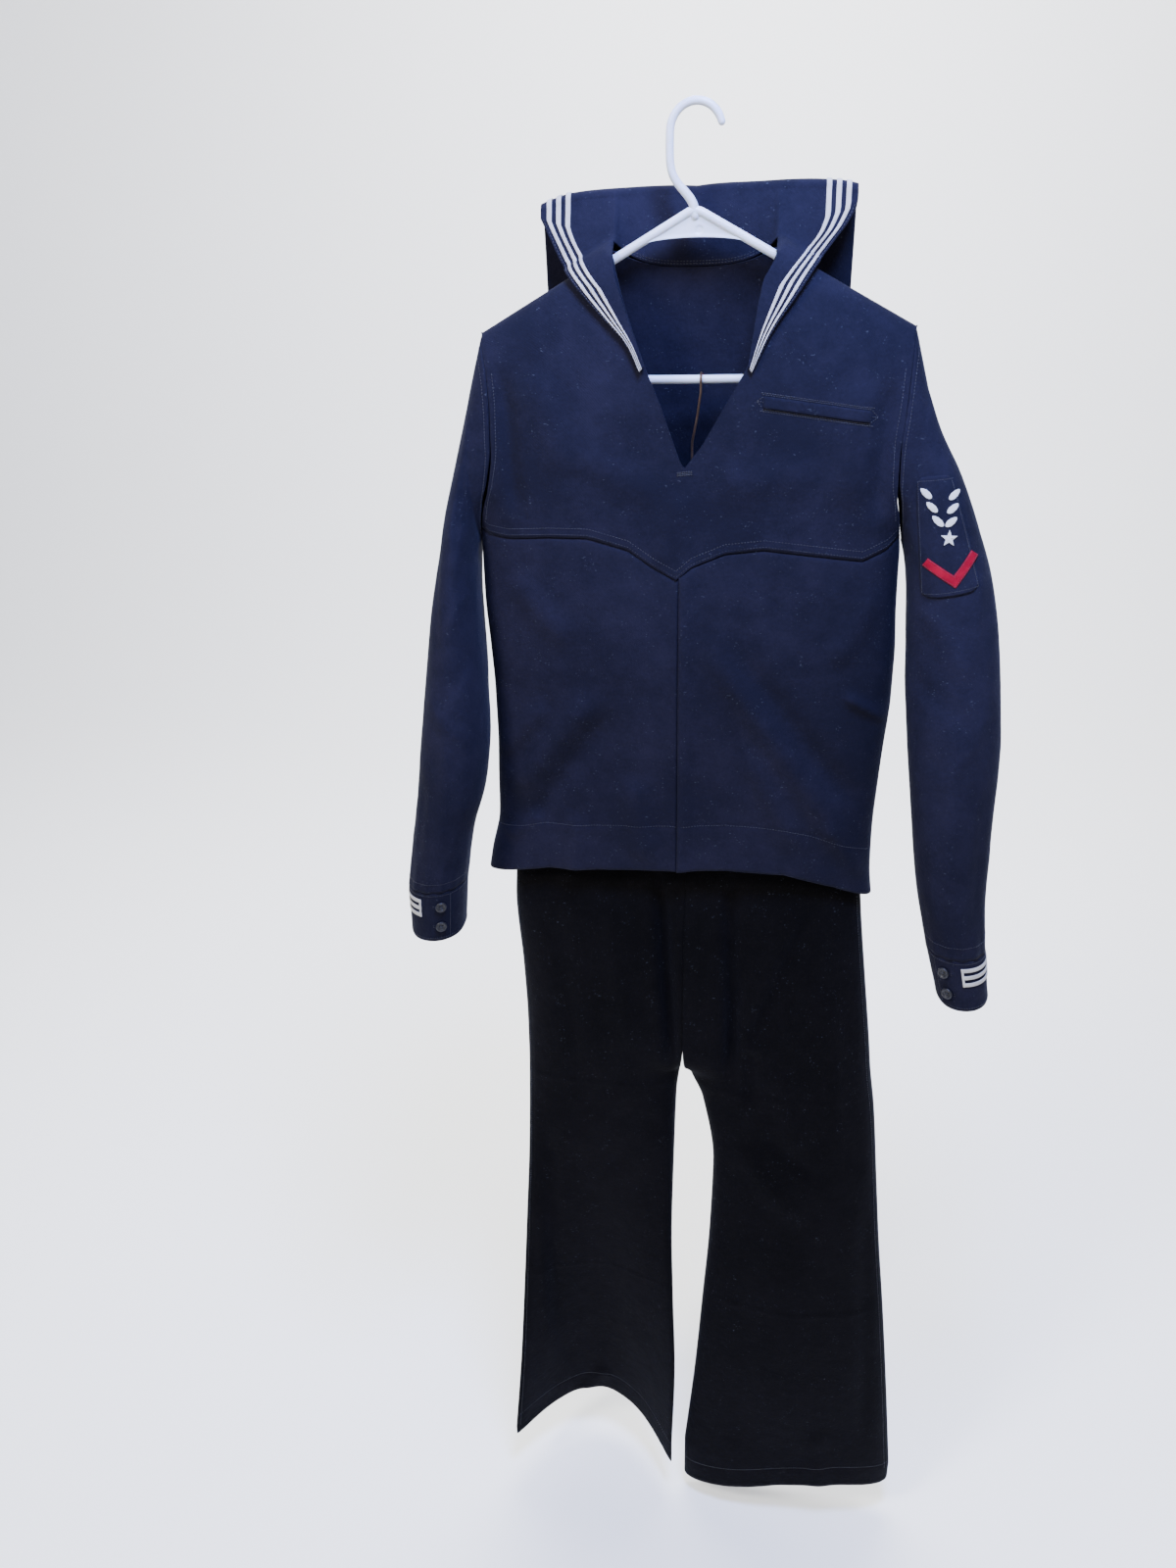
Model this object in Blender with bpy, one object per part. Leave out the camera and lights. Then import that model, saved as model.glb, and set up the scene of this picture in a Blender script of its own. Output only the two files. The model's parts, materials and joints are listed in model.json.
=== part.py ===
"""Sailor's dress uniform on a plastic hanger.

A pullover jumper with a sailor collar, and bell-bottomed trousers held under it
by a wire trouser hanger.  Metres, +Z up, +X to the right, the front faces -Y.
The origin is the inside top of the hanger's hook, where a nail or rod bears.
Left and right are the viewer's.
"""
import math
import bpy
import bmesh
import numpy as np
from mathutils import Vector
from mathutils.bvhtree import BVHTree

mm = 0.001

# ---- driving dimensions ------------------------------------------------------------
clothThick = 1.8 * mm
seamGap = 0.3 * mm
hookInner = 20 * mm          # inner radius of the hanger's hook
tubeRadius = 4.2 * mm        # hanger tube
stemRadius = 3.8 * mm        # the hook and its stem
webHalf, webThick = 54 * mm, 3 * mm   # flat plate under the arms
armTopZ = -84 * mm           # where the two arms' centre lines meet
armSlope = 0.544             # fall of an arm for each metre out
barZ = -235 * mm             # centre of the hanger's bar
endBend = 25.4 * mm          # bend radius where an arm turns into the bar
ridgeAbove = 8.9 * mm        # shoulder seam above the arm's centre line
rollHeight = 160 * mm        # height over which the shoulder rolls to full depth
neckHalf = 77 * mm           # half width of the neck opening
backNeckZ = -134 * mm
foldZ = -62 * mm             # top fold of the collar
flapHang = 185 * mm          # collar's hidden flap, from the fold down
collarHalf = 149 * mm
foldRadius = 8 * mm
tapeWide = 4.7 * mm
tapeStep = 9.0 * mm
tapeThick = 0.7 * mm
waistZ = -742 * mm
crotchZ = -1045 * mm
clipTopZ = -690 * mm         # cross wire of the trouser hanger
clipOut = 120 * mm
clipHalfDepth = 8.6 * mm
wireRadius = 1.25 * mm
crossRadius = 1.6 * mm
crossHalf = 150 * mm         # half length of the trouser hanger's cross wire
bandHigh = 38 * mm           # trousers' waistband
bandY = -3 * mm              # depth of its middle
cuffButtonShares = (0.28, 0.68)      # down a cuff
cuffTapeShares = (0.14, 0.213, 0.28, 0.353, 0.42, 0.493)
sleeveSegments = 20
sleeveRings = 15
blendRings = 5               # over which a sleeve leaves its armhole's depth
legRings = 17
legSplitRow = 5              # ring at which a leg's panel is parted under the seat
yokeRows = 11
lowerRows = 10
backRows = 15
lapelRows = 14
badgeX, badgeZ = 243 * mm, -352 * mm
badgeCorners = [(230, -437), (285, -425), (251, -320), (218, -324)]

# Torso: half depths and side seams at each height (mm)
torsoRows = [
    # z, left, right, front, back
    (-100, -262, 262, 38, 32),
    (-200, -262, 262, 42, 35),
    (-240, -262, 262, 43, 36),
    (-300, -250, 250, 45, 38),
    (-335, -240, 237, 47, 40),
    (-362, -228, 222, 48, 41),
    (-390, -222, 212, 49, 42),
    (-450, -222, 213, 51, 42),
    (-510, -219, 216, 52, 42),
    (-560, -217, 216, 51, 41),
    (-610, -217, 213, 50, 41),
    (-661, -219, 210, 49, 41),
    (-714, -221, 208, 49, 41),
    (-763, -232, 209, 50, 42),
    (-800, -239, 213, 51, 43),
]
# Armhole seam: its half distance from the middle at each height (mm)
armholeRows = [
    # z, left, right
    (-200, 209, 209),
    (-229, 203, 207),
    (-261, 201, 205),
    (-294, 201, 202),
    (-330, 207, 203),
    (-352, 214, 207),
    (-390, 222, 212),
]
# V neck, from the neck point down to the bottom of the V (mm)
vLeft = [(-77, -124), (-62, -171), (-44, -219), (-29, -254), (-9, -308), (-5, -314)]
vRight = [(77, -125), (66, -145), (54, -220), (12, -292), (-5, -314)]
# Yoke seam across the chest (mm)
yokeSeam = [(-227, -374), (-208, -384), (-186, -386), (-143, -383), (-102, -383), (-61, -394),
            (-37, -410), (-12, -424), (3, -411), (37, -397), (76, -393), (124, -399),
            (173, -406), (197, -396), (222, -372)]
# Jumper hem (mm)
hemLine = [(-239, -788), (-158, -768), (-65, -762), (-9, -761), (46, -757), (111, -761),
           (167, -778), (213, -799)]
# Free edge of the collar, from the V's end to the fold (mm)
collarEdgeLeft = [(-49, -224), (-61, -200), (-86, -174), (-111, -149), (-129, -127),
                  (-140, -101), (-149, -79)]
collarEdgeRight = [(58, -226), (75, -191), (98, -158), (116, -132), (132, -111),
                   (141, -93), (150, -71)]
# Sleeves: inner and outer sides, middle depth and half depth at each station (mm)
sleeveLeftRows = [
    # inner x, inner z, outer x, outer z, middle y, half depth
    (-222, -392, -226, -246, -1, 38),
    (-224, -400, -240, -300, -3, 42),
    (-226, -414, -253, -352, -7, 46),
    (-226, -440, -264, -408, -12, 50),
    (-225, -480, -274, -458, -17, 53),
    (-222, -545, -288, -554, -26, 55),
    (-221, -600, -296, -612, -33, 54),
    (-228, -665, -303, -668, -39, 52),
    (-244, -722, -312, -726, -45, 49),
    (-254, -780, -321, -781, -50, 44),
]
sleeveRightRows = [
    (212, -392, 226, -246, -2, 38),
    (215, -402, 242, -285, -5, 42),
    (218, -418, 262, -322, -10, 45),
    (221, -448, 283, -372, -16, 47),
    (223, -485, 299, -417, -24, 48),
    (225, -530, 311, -476, -36, 48),
    (228, -565, 318, -537, -48, 48),
    (233, -612, 323, -602, -59, 47),
    (241, -675, 322, -669, -68, 46),
    (251, -745, 323, -740, -76, 43),
    (266, -813, 329, -813, -82, 40),
]
# Cuffs: the same columns
cuffLeftRows = [(-254.2, -780.4, -321.2, -781.4, -50, 43.6), (-260, -845, -322, -846, -52, 41)]
cuffRightRows = [(266.2, -813.4, 329.2, -813.4, -82, 39.6), (284, -878, 338, -874, -86, 37)]
# Trousers: outer and inner x, depth of the side seams, half depth, crescent (mm)
legLeftRows = [
    # z, outer, inner, middle y, half depth, crescent
    (-742, -200, -0.2, -3, 12, 0),
    (-790, -204, -0.2, -3, 28, 0),
    (-830, -206, -0.2, -3, 36, 0),
    (-920, -201, -0.2, -4, 41, 0),
    (-1000, -199, -0.2, -6, 42, 0),
    (-1045, -199, -3, -9, 41, 3),
    (-1100, -200, -9, -14, 38, 8),
    (-1200, -203, -11, -26, 34, 18),
    (-1300, -208, -12, -40, 30, 34),
    (-1420, -215, -9, -52, 26, 54),
    (-1560, -225, -5, -60, 22, 76),
    (-1700, -238, -8, -66, 18, 94),
]
legRightRows = [
    (-742, 196, 0.2, -3, 12, 0),
    (-790, 200, 0.2, -3, 28, 0),
    (-830, 204, 0.2, -4, 36, 0),
    (-920, 215, 0.2, -6, 42, 0),
    (-1000, 225, 0.2, -8, 44, 0),
    (-1045, 230, 3, -10, 44, 0),
    (-1100, 238, 24, -14, 42, 0),
    (-1200, 248, 40, -22, 40, -2),
    (-1300, 258, 38, -31, 38, -3),
    (-1420, 272, 31, -41, 36, -4),
    (-1560, 287, 22, -48, 34, -5),
    (-1700, 301, 10, -52, 32, -6),
]
# Where each leg's hem lies, from the outer to the inner side (mm)
hemLeftLeg = [(0.0, -1716), (0.25, -1702), (0.5, -1694), (0.75, -1705), (1.0, -1738)]
hemRightLeg = [(0.0, -1730), (0.25, -1722), (0.5, -1730), (0.75, -1752), (1.0, -1770)]


# ---- tables, curves and materials --------------------------------------------------
def easedSlopes(table, at):
    """Slopes through a table's rows that never carry a curve past its own rows."""
    steps = np.diff(table, axis=0) / np.diff(at)[:, None]
    slopes = np.zeros_like(table)
    slopes[0], slopes[-1] = steps[0], steps[-1]
    same = steps[:-1] * steps[1:] > 0
    mean = 2 * steps[:-1] * steps[1:] / np.where(same, steps[:-1] + steps[1:], 1)
    slopes[1:-1] = np.where(same, mean, 0)
    return slopes


def smoothTable(rows, at):
    """Every column of a table at one height, with an eased slope through its rows."""
    table = np.array(rows, float) * mm
    heights = -table[:, 0]
    t = np.clip(-at, heights[0], heights[-1])
    row = min(int(np.searchsorted(heights, t, side="right")) - 1, len(heights) - 2)
    u = (t - heights[row]) / (heights[row + 1] - heights[row])
    slopes = easedSlopes(table, heights)
    span = heights[row + 1] - heights[row]
    a, b = table[row], table[row + 1]
    curve = ((2 * u ** 3 - 3 * u ** 2 + 1) * a + (u ** 3 - 2 * u ** 2 + u) * span * slopes[row]
             + (3 * u ** 2 - 2 * u ** 3) * b + (u ** 3 - u ** 2) * span * slopes[row + 1])
    return curve[1:]


def along(points, count, scale=mm):
    """Points at even steps along a polyline given in millimetres."""
    line = np.array(points, float) * scale
    steps = np.r_[0, np.cumsum(np.linalg.norm(np.diff(line, axis=0), axis=1))]
    at = np.linspace(0, steps[-1], count)
    return np.stack([np.interp(at, steps, line[:, k]) for k in range(line.shape[1])], axis=1)


def material(name, colour, roughness, metallic=0.0):
    made = bpy.data.materials.new(name)
    made.use_nodes = True
    shader = made.node_tree.nodes["Principled BSDF"]
    shader.inputs["Base Color"].default_value = (*colour, 1)
    shader.inputs["Roughness"].default_value = roughness
    shader.inputs["Metallic"].default_value = metallic
    made.diffuse_color = (*colour, 1)
    return made


def place(name, mesh, look):
    mesh.materials.append(look)
    made = bpy.data.objects.new(name, mesh)
    bpy.context.scene.collection.objects.link(made)
    return made


# ---- walls -------------------------------------------------------------------------
def gridFaces(rows, columns, closed=False):
    """Quads of a grid whose columns may close into a ring."""
    faces = []
    for i in range(rows - 1):
        for j in range(columns if closed else columns - 1):
            k = (j + 1) % columns
            faces.append((i * columns + j, i * columns + k,
                          (i + 1) * columns + k, (i + 1) * columns + j))
    return faces


def faceNormals(points, faces):
    """Unit normals at the points, from the quads round each."""
    normals = np.zeros_like(points)
    for face in faces:
        a, b, c, d = points[list(face)]
        turn = np.cross(c - a, d - b)
        for corner in face:
            normals[corner] += turn
    return normals / np.maximum(np.linalg.norm(normals, axis=1), 1e-12)[:, None]


def wall(name, points, faces, look, outer=0.0, inner=-clothThick, normals=None):
    """A closed wall between two offsets of a sheet of quads, its open rims capped."""
    points = np.asarray(points, float)
    if normals is None:
        normals = faceNormals(points, faces)
    used = sorted({corner for face in faces for corner in face})
    place_of = {corner: i for i, corner in enumerate(used)}
    count = len(used)
    vertices = np.r_[points[used] + normals[used] * outer, points[used] + normals[used] * inner]
    sheet = [tuple(place_of[corner] for corner in face) for face in faces]
    edges = {}
    for face in sheet:
        for a, b in zip(face, face[1:] + face[:1]):
            edges[(a, b)] = True
    polygons = []
    for a, b, c, d in sheet:
        polygons += [(a, b, c), (a, c, d)]
        polygons += [(c + count, b + count, a + count), (d + count, c + count, a + count)]
    polygons += [(b, a, a + count, b + count) for a, b in edges if (b, a) not in edges]
    mesh = bpy.data.meshes.new(name)
    mesh.from_pydata([tuple(v) for v in vertices], [], polygons)
    mesh.update()
    mesh.shade_smooth()
    mesh.set_sharp_from_angle(angle=math.radians(50))
    return place(name, mesh, look)


# ---- the torso's surface -----------------------------------------------------------
def shoulderZ(x):
    return armTopZ - armSlope * abs(x) + ridgeAbove


def torsoY(x, z, face):
    """Depth of the body's outer face; face is -1 in front and 1 behind."""
    left, right, front, back = smoothTable(torsoRows, z)
    half = right if x > 0 else -left
    across = max(0.0, 1 - min(1.0, abs(x) / half) ** 2.5) ** 0.4
    drop = min(max(shoulderZ(x) - z, 0.0) / rollHeight, 1.0)
    roll = math.sqrt(max(0.0, 1 - (1 - drop) ** 2))
    depth = front if face < 0 else back
    ridge = 1 - math.exp(-max(z + 0.44, 0.0) / 0.06)
    pleat = 3 * mm * math.exp(-((x + 3 * mm) / (9 * mm)) ** 2) * (1 - ridge) if face < 0 else 0.0
    return face * (depth * across * roll + pleat)


def armholeX(z, side):
    left, right = smoothTable(armholeRows, z)
    return -left if side < 0 else right


def torsoSide(z, side):
    """Edge of the body panels: the armhole seam above the armpit, the side seam below it."""
    left, right = smoothTable(torsoRows, z)[:2]
    seam = left if side < 0 else right
    if z > -390 * mm:
        return armholeX(z, side)
    return seam


def lineZ(points, x):
    line = np.array(points, float) * mm
    order = np.argsort(line[:, 0])
    return float(np.interp(x, line[order, 0], line[order, 1]))


def outward(points, faces, away):
    """The faces, turned over where they don't look along the given directions."""
    normals = faceNormals(points, faces)
    if float(np.sum(normals * away)) < 0:
        return [tuple(reversed(face)) for face in faces]
    return faces


# ---- jumper ------------------------------------------------------------------------
def neckZ(x):
    """Top edge of the front: the V between the neck points, the shoulder seam outside."""
    line = vLeft if x < -5 * mm else vRight
    low = line[0][0] * mm
    if abs(x) >= abs(low):
        return shoulderZ(x)
    return lineZ(line, x)


def backNeck(x):
    """Back neck seam, level in the middle and rising to the neck points."""
    if abs(x) >= neckHalf:
        return shoulderZ(x)
    rise = (abs(x) / neckHalf) ** 3
    return backNeckZ + rise * (shoulderZ(neckHalf) - backNeckZ)


frontLeftX = [x * mm for x in (-190, -176, -161, -145, -128, -110, -93, -77, -62, -44, -29, -9)]
frontRightX = [x * mm for x in (-5, 12, 26, 40, 54, 66, 77, 92, 110, 128, 145, 161, 176, 190)]
frontColumns = frontLeftX + frontRightX


def makeYoke(look):
    columns = [(x, neckZ(x), lineZ(yokeSeam, x)) for x in frontColumns]
    return sidedPanel("jumper_front_yoke", columns, yokeRows, -1, yokeSeam, look)


def sidedPanel(name, columns, rows, face, lower, look):
    """A panel whose first and last columns follow the armhole or side seam."""
    points, normals, faces = sidedGrid(columns, rows, face, lower)
    return wall(name, points, faces, look, normals=normals)


def sidedGrid(columns, rows, face, lower):
    """A panel's points, with rows that crowd under the shoulder seam, where it rolls over."""
    count = len(columns) + 2
    points = []
    for i in range(rows):
        share = (i / (rows - 1)) ** 1.7
        row = []
        for x, top, bottom in columns:
            row.append((x, top + (bottom - top) * share))
        for side in (-1, 1):
            top = shoulderZ(armholeX(-200 * mm, side) - side * seamGap)
            bottom = lower[0 if side < 0 else -1][1] * mm
            if bottom > -500 * mm:
                bottom = columns[0 if side < 0 else -1][2]
            z = top + (bottom - top) * share
            row.insert(0 if side < 0 else len(row), (torsoSide(z, side) - side * seamGap, z))
        points += [(x, torsoY(x, z, face), z) for x, z in row]
    points = np.array(points)
    faces = outward(points, gridFaces(rows, count), np.array([0, face, 0.0]))
    normals = faceNormals(points, faces)
    for corner, (x, y, z) in enumerate(points):
        column = corner % count
        if column in (0, count - 1):
            if z < -385 * mm:
                normals[corner] = (math.copysign(1, x), 0, 0)
            else:
                normals[corner, 0] = 0
        if corner < count and abs(y) < 1 * mm and z > -300 * mm:
            normals[corner] = (0, 0, 1)
            if column not in (0, count - 1):
                normals[corner] = (math.copysign(armSlope, x), 0, 1)
    normals /= np.linalg.norm(normals, axis=1)[:, None]
    points[:, 1] += face * seamGap / 2
    return points, normals, faces


def makeLowerFronts(look):
    """Two lower fronts under the yoke; the right one laps the centre."""
    half = seamGap / 2
    centre = frontLeftX[-1]
    for side, name in ((-1, "jumper_front_left"), (1, "jumper_front_right")):
        xs = frontLeftX[:-1] + [centre - half] if side < 0 else [centre + half] + frontRightX
        columns = [(x, lineZ(yokeSeam, x) - seamGap, lineZ(hemLine, x)) for x in xs]
        lowerFront(name, columns, side, look)


def lowerFront(name, columns, side, look):
    rows = lowerRows
    count = len(columns) + 1
    points = []
    for i in range(rows):
        share = i / (rows - 1)
        row = [(x, top + (bottom - top) * share) for x, top, bottom in columns]
        near = row[0] if side < 0 else row[-1]
        top = columns[0][1] if side < 0 else columns[-1][1]
        bottom = hemLine[0 if side < 0 else -1][1] * mm
        z = top + (bottom - top) * share
        edge = (torsoSide(z, side) - side * seamGap, z)
        row.insert(0 if side < 0 else len(row), edge)
        points += [(x, torsoY(x, z, -1), z) for x, z in row]
    points = np.array(points)
    faces = outward(points, gridFaces(rows, count), np.array([0, -1, 0.0]))
    normals = faceNormals(points, faces)
    for corner, (x, y, z) in enumerate(points):
        column = corner % count
        if column == (0 if side < 0 else count - 1):
            if z < -385 * mm:
                normals[corner] = (side, 0, 0)
            else:
                normals[corner, 0] = 0
        elif column == (count - 1 if side < 0 else 0):
            normals[corner] = (0, -1, 0)
    normals /= np.linalg.norm(normals, axis=1)[:, None]
    points[:, 1] -= seamGap / 2
    return wall(name, points, faces, look, normals=normals)


def makeBack(look):
    outer = [190, 172, 150, 126, 101, 77, 66, 48, 26]
    xs = [-x * mm for x in outer] + [0.0] + [x * mm for x in reversed(outer)]
    columns = [(x, backNeck(x), lineZ(hemLine, x)) for x in xs]
    return sidedPanel("jumper_back", columns, backRows, 1, hemLine, look)


# ---- sleeves and cuffs -------------------------------------------------------------
def splineRows(rows, count):
    """A table's rows eased into more stations, evenly counted."""
    table = np.array(rows, float) * mm
    at = np.linspace(0, len(table) - 1, count)
    slopes = easedSlopes(table, np.arange(len(table)))
    made = []
    for t in at:
        k = min(int(t), len(table) - 2)
        u = t - k
        a, b, p, q = table[k], table[k + 1], slopes[k], slopes[k + 1]
        made.append((2 * u ** 3 - 3 * u ** 2 + 1) * a + (u ** 3 - 2 * u ** 2 + u) * p
                    + (3 * u ** 2 - 2 * u ** 3) * b + (u ** 3 - u ** 2) * q)
    return made


def ringPoint(row, angle):
    """A point of a sleeve's ring: 0 at the outer side, half a turn at the inner, front between."""
    innerX, innerZ, outerX, outerZ, midY, half = row
    across = math.cos(angle)
    deep = math.copysign(abs(math.sin(angle)) ** 0.85, math.sin(angle))
    x = (innerX + outerX) / 2 + (outerX - innerX) / 2 * across
    z = (innerZ + outerZ) / 2 + (outerZ - innerZ) / 2 * across
    return np.array((x, midY - half * deep, z))


def armholePoint(side, angle):
    """A point of the armhole seam at a ring's angle."""
    top = shoulderZ(armholeX(-200 * mm, side))
    low = -390 * mm
    z = (top + low) / 2 + (top - low) / 2 * math.cos(angle)
    x = armholeX(z, side) + side * 0.2 * mm
    face = -1 if math.sin(angle) >= 0 else 1
    return np.array((x + side * seamGap, torsoY(x, z, face), z))


def sleeveGrid(rows, side):
    points = []
    stations = splineRows(rows, sleeveRings)
    angles = [2 * math.pi * j / sleeveSegments for j in range(sleeveSegments)]
    points += [armholePoint(side, angle) for angle in angles]
    for i, row in enumerate(stations):
        blend = min(1.0, (i + 1) / blendRings)
        blend = blend * blend * (3 - 2 * blend)
        for angle in angles:
            ring = ringPoint(row, angle)
            seam = armholePoint(side, angle)
            ring[1] = seam[1] * (1 - blend) + ring[1] * blend
            points.append(ring)
    return np.array(points), len(stations) + 1


def makeSleeve(name, rows, side, look):
    points, rings = sleeveGrid(rows, side)
    centres = points.reshape(rings, sleeveSegments, 3).mean(axis=1)
    away = points - np.repeat(centres, sleeveSegments, axis=0)
    faces = outward(points, gridFaces(rings, sleeveSegments, closed=True), away)
    normals = faceNormals(points, faces)
    for corner in range(sleeveSegments):
        normals[corner, 0] = 0
        if abs(points[corner, 1]) < 1 * mm:
            normals[corner] = (0, 0, 1 if points[corner, 2] > -300 * mm else -1)
        normals[corner] /= np.linalg.norm(normals[corner])
    for corner in range(len(points) - sleeveSegments, len(points)):
        normals[corner, 2] = 0
        normals[corner] /= np.linalg.norm(normals[corner])
    made = wall(name, points, faces, look, normals=normals)
    return made, points, faces, normals


def makeCuff(name, rows, look):
    table = [np.array(row, float) * mm for row in rows]
    points = []
    for row in (table[0], (table[0] + table[1]) / 2, table[1]):
        points += [ringPoint(row, 2 * math.pi * j / sleeveSegments) for j in range(sleeveSegments)]
    points = np.array(points)
    centres = points.reshape(3, sleeveSegments, 3).mean(axis=1)
    away = points - np.repeat(centres, sleeveSegments, axis=0)
    faces = outward(points, gridFaces(3, sleeveSegments, closed=True), away)
    normals = faceNormals(points, faces)
    normals[:, 2] *= 0.2
    normals /= np.linalg.norm(normals, axis=1)[:, None]
    wall(name, points, faces, look, normals=normals)
    return table, points, faces, normals


def onRing(table, share, angle, lift):
    """A point on a cuff's facets at a share of its height, moved out by a lift."""
    row = table[0] + (table[1] - table[0]) * share
    step = 2 * math.pi / sleeveSegments
    k = math.floor(angle / step)
    u = angle / step - k
    a, b = ringPoint(row, k * step), ringPoint(row, (k + 1) * step)
    centre = (ringPoint(row, 0) + ringPoint(row, math.pi)) / 2
    point = a + (b - a) * u
    chord = b - a
    out = np.array((-chord[1], chord[0], 0.0))
    out /= np.linalg.norm(out)
    if float(np.dot(out, point - centre)) < 0:
        out = -out
    return point + out * lift, out


def makeCuffTape(name, table, startAngle, sweep, look):
    """Three tapes round a cuff, joined at their closed end into one comb."""
    step = 2 * math.pi / sleeveSegments
    count = max(2, int(round(abs(sweep) / step)))
    turn = math.copysign(step, sweep)
    start = round(startAngle / step) * step
    angles = [start, start + turn * 0.22] + [start + turn * k for k in range(1, count + 1)]
    points = []
    for angle in angles:
        points += [onRing(table, share, angle, 0.0)[0] for share in cuffTapeShares]
    points = np.array(points)
    columns = len(cuffTapeShares)
    faces = []
    for i in range(len(angles) - 1):
        for j in range(columns - 1):
            if i == 0 or j % 2 == 0:
                faces.append((i * columns + j, i * columns + j + 1,
                              (i + 1) * columns + j + 1, (i + 1) * columns + j))
    away = np.array([onRing(table, 0.5, angle, 0.0)[1] for angle in angles
                     for _ in cuffTapeShares])
    faces = outward(points, faces, away)
    normals = faceNormals(points, faces)
    return wall(name, points, faces, look, outer=tapeThick + 0.4 * mm, inner=0.4 * mm,
                normals=normals)


def disc(name, centre, facing, radius, thick, look, segments=14, rim=0.7 * mm):
    """A round button lying on a face: a turned disc with a low rim."""
    mesh = bpy.data.meshes.new(name)
    build = bmesh.new()
    profile = [(0.0, 0.0), (radius * 0.9, 0.0), (radius, thick * 0.45), (radius * 0.93, thick),
               (radius * 0.66, thick), (radius * 0.6, thick - rim), (0.0, thick - rim)]
    rings = []
    for r, h in profile:
        if r == 0.0:
            rings.append([build.verts.new((0, 0, h))])
        else:
            rings.append([build.verts.new((r * math.cos(2 * math.pi * k / segments),
                                           r * math.sin(2 * math.pi * k / segments), h))
                          for k in range(segments)])
    for lower, upper in zip(rings, rings[1:]):
        for k in range(segments):
            m = (k + 1) % segments
            if len(lower) == 1:
                build.faces.new((lower[0], upper[m], upper[k]))
            elif len(upper) == 1:
                build.faces.new((lower[k], lower[m], upper[0]))
            else:
                build.faces.new((lower[k], lower[m], upper[m], upper[k]))
    build.to_mesh(mesh)
    build.free()
    mesh.shade_smooth()
    mesh.set_sharp_from_angle(angle=math.radians(40))
    made = place(name, mesh, look)
    made.location = centre
    made.rotation_mode = "QUATERNION"
    made.rotation_quaternion = Vector(facing).to_track_quat("Z", "Y")
    return made


# ---- collar ------------------------------------------------------------------------
def foldTop(x):
    """Height of the collar's top fold, drooping a little at its ends."""
    side = abs(x) / collarHalf
    return foldZ + 0.03 * x - 9 * mm * side ** 6 - 3 * mm * (1 - min(1.0, abs(x / (60 * mm)))) ** 2


def standY(x, z):
    """Depth of the collar where it stands up from the back neck and the shoulders."""
    base = backNeck(x)
    seamY = torsoY(x, base, 1) if abs(x) < neckHalf else 0.0
    foldY = 34 * mm - 0.8 * x * x
    share = (z - base) / max(foldTop(x) - base, 1 * mm)
    return seamY + (foldY - seamY) * max(share, -0.5)


def lapelY(x, z):
    """Depth of the collar's front, lying on the body below the shoulder seam."""
    lift = clothThick + 1.7 * mm
    ridge = shoulderZ(x) + 9 * mm
    drop = min(max(ridge - z, 0.0) / rollHeight, 1.0)
    left, right, front, back = smoothTable(torsoRows, z)
    half = right if x > 0 else -left
    across = max(0.0, 1 - min(1.0, abs(x) / half) ** 2.5) ** 0.4
    on = -front * across * math.sqrt(max(0.0, 1 - (1 - drop) ** 2)) - lift
    if z > ridge:
        on = -lift + 3 * (z - ridge)
    up = standY(x, z) if abs(x) >= neckHalf - 1 * mm else on
    ease = 3 * mm
    low, high = min(on, up), max(on, up)
    return low - ease * 0.25 * max(0.0, 1 - (high - low) / ease) ** 2 if high - low < ease else low


def foldedPoint(x, run):
    """A point of the standing part and flap, a run up the sheet from its base line."""
    top = foldTop(x)
    base = collarBase(x)
    rise = top - foldRadius - base
    if run <= rise:
        z = base + run
        return np.array((x, collarFrontY(x, z), z))
    y = collarFrontY(x, top - foldRadius)
    turn = (run - rise) / foldRadius
    if turn <= math.pi:
        return np.array((x, y + foldRadius * (1 - math.cos(turn)),
                         top - foldRadius + foldRadius * math.sin(turn)))
    down = run - rise - math.pi * foldRadius
    z = top - foldRadius - down
    hang = y + 2 * foldRadius
    on = torsoY(x, z, 1) + clothThick + 1.5 * mm
    return np.array((x, max(hang + (46 * mm - hang) * min(1, down / (120 * mm)), on), z))


def collarBase(x):
    """Lower border of the standing part: back neck seam, then out to the free edge's corner."""
    if abs(x) <= neckHalf:
        return backNeck(x) + 0.5 * mm + 7.0 * mm * (abs(x) / neckHalf) ** 6
    corner = foldTop(math.copysign(collarHalf, x)) - foldRadius - 5 * mm
    share = (abs(x) - neckHalf) / (collarHalf - neckHalf)
    neck = shoulderZ(neckHalf) + 7.5 * mm
    return neck + share * (corner - neck)


def collarFrontY(x, z):
    if abs(x) <= neckHalf:
        return standY(x, z)
    return lapelY(x, z)


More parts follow.
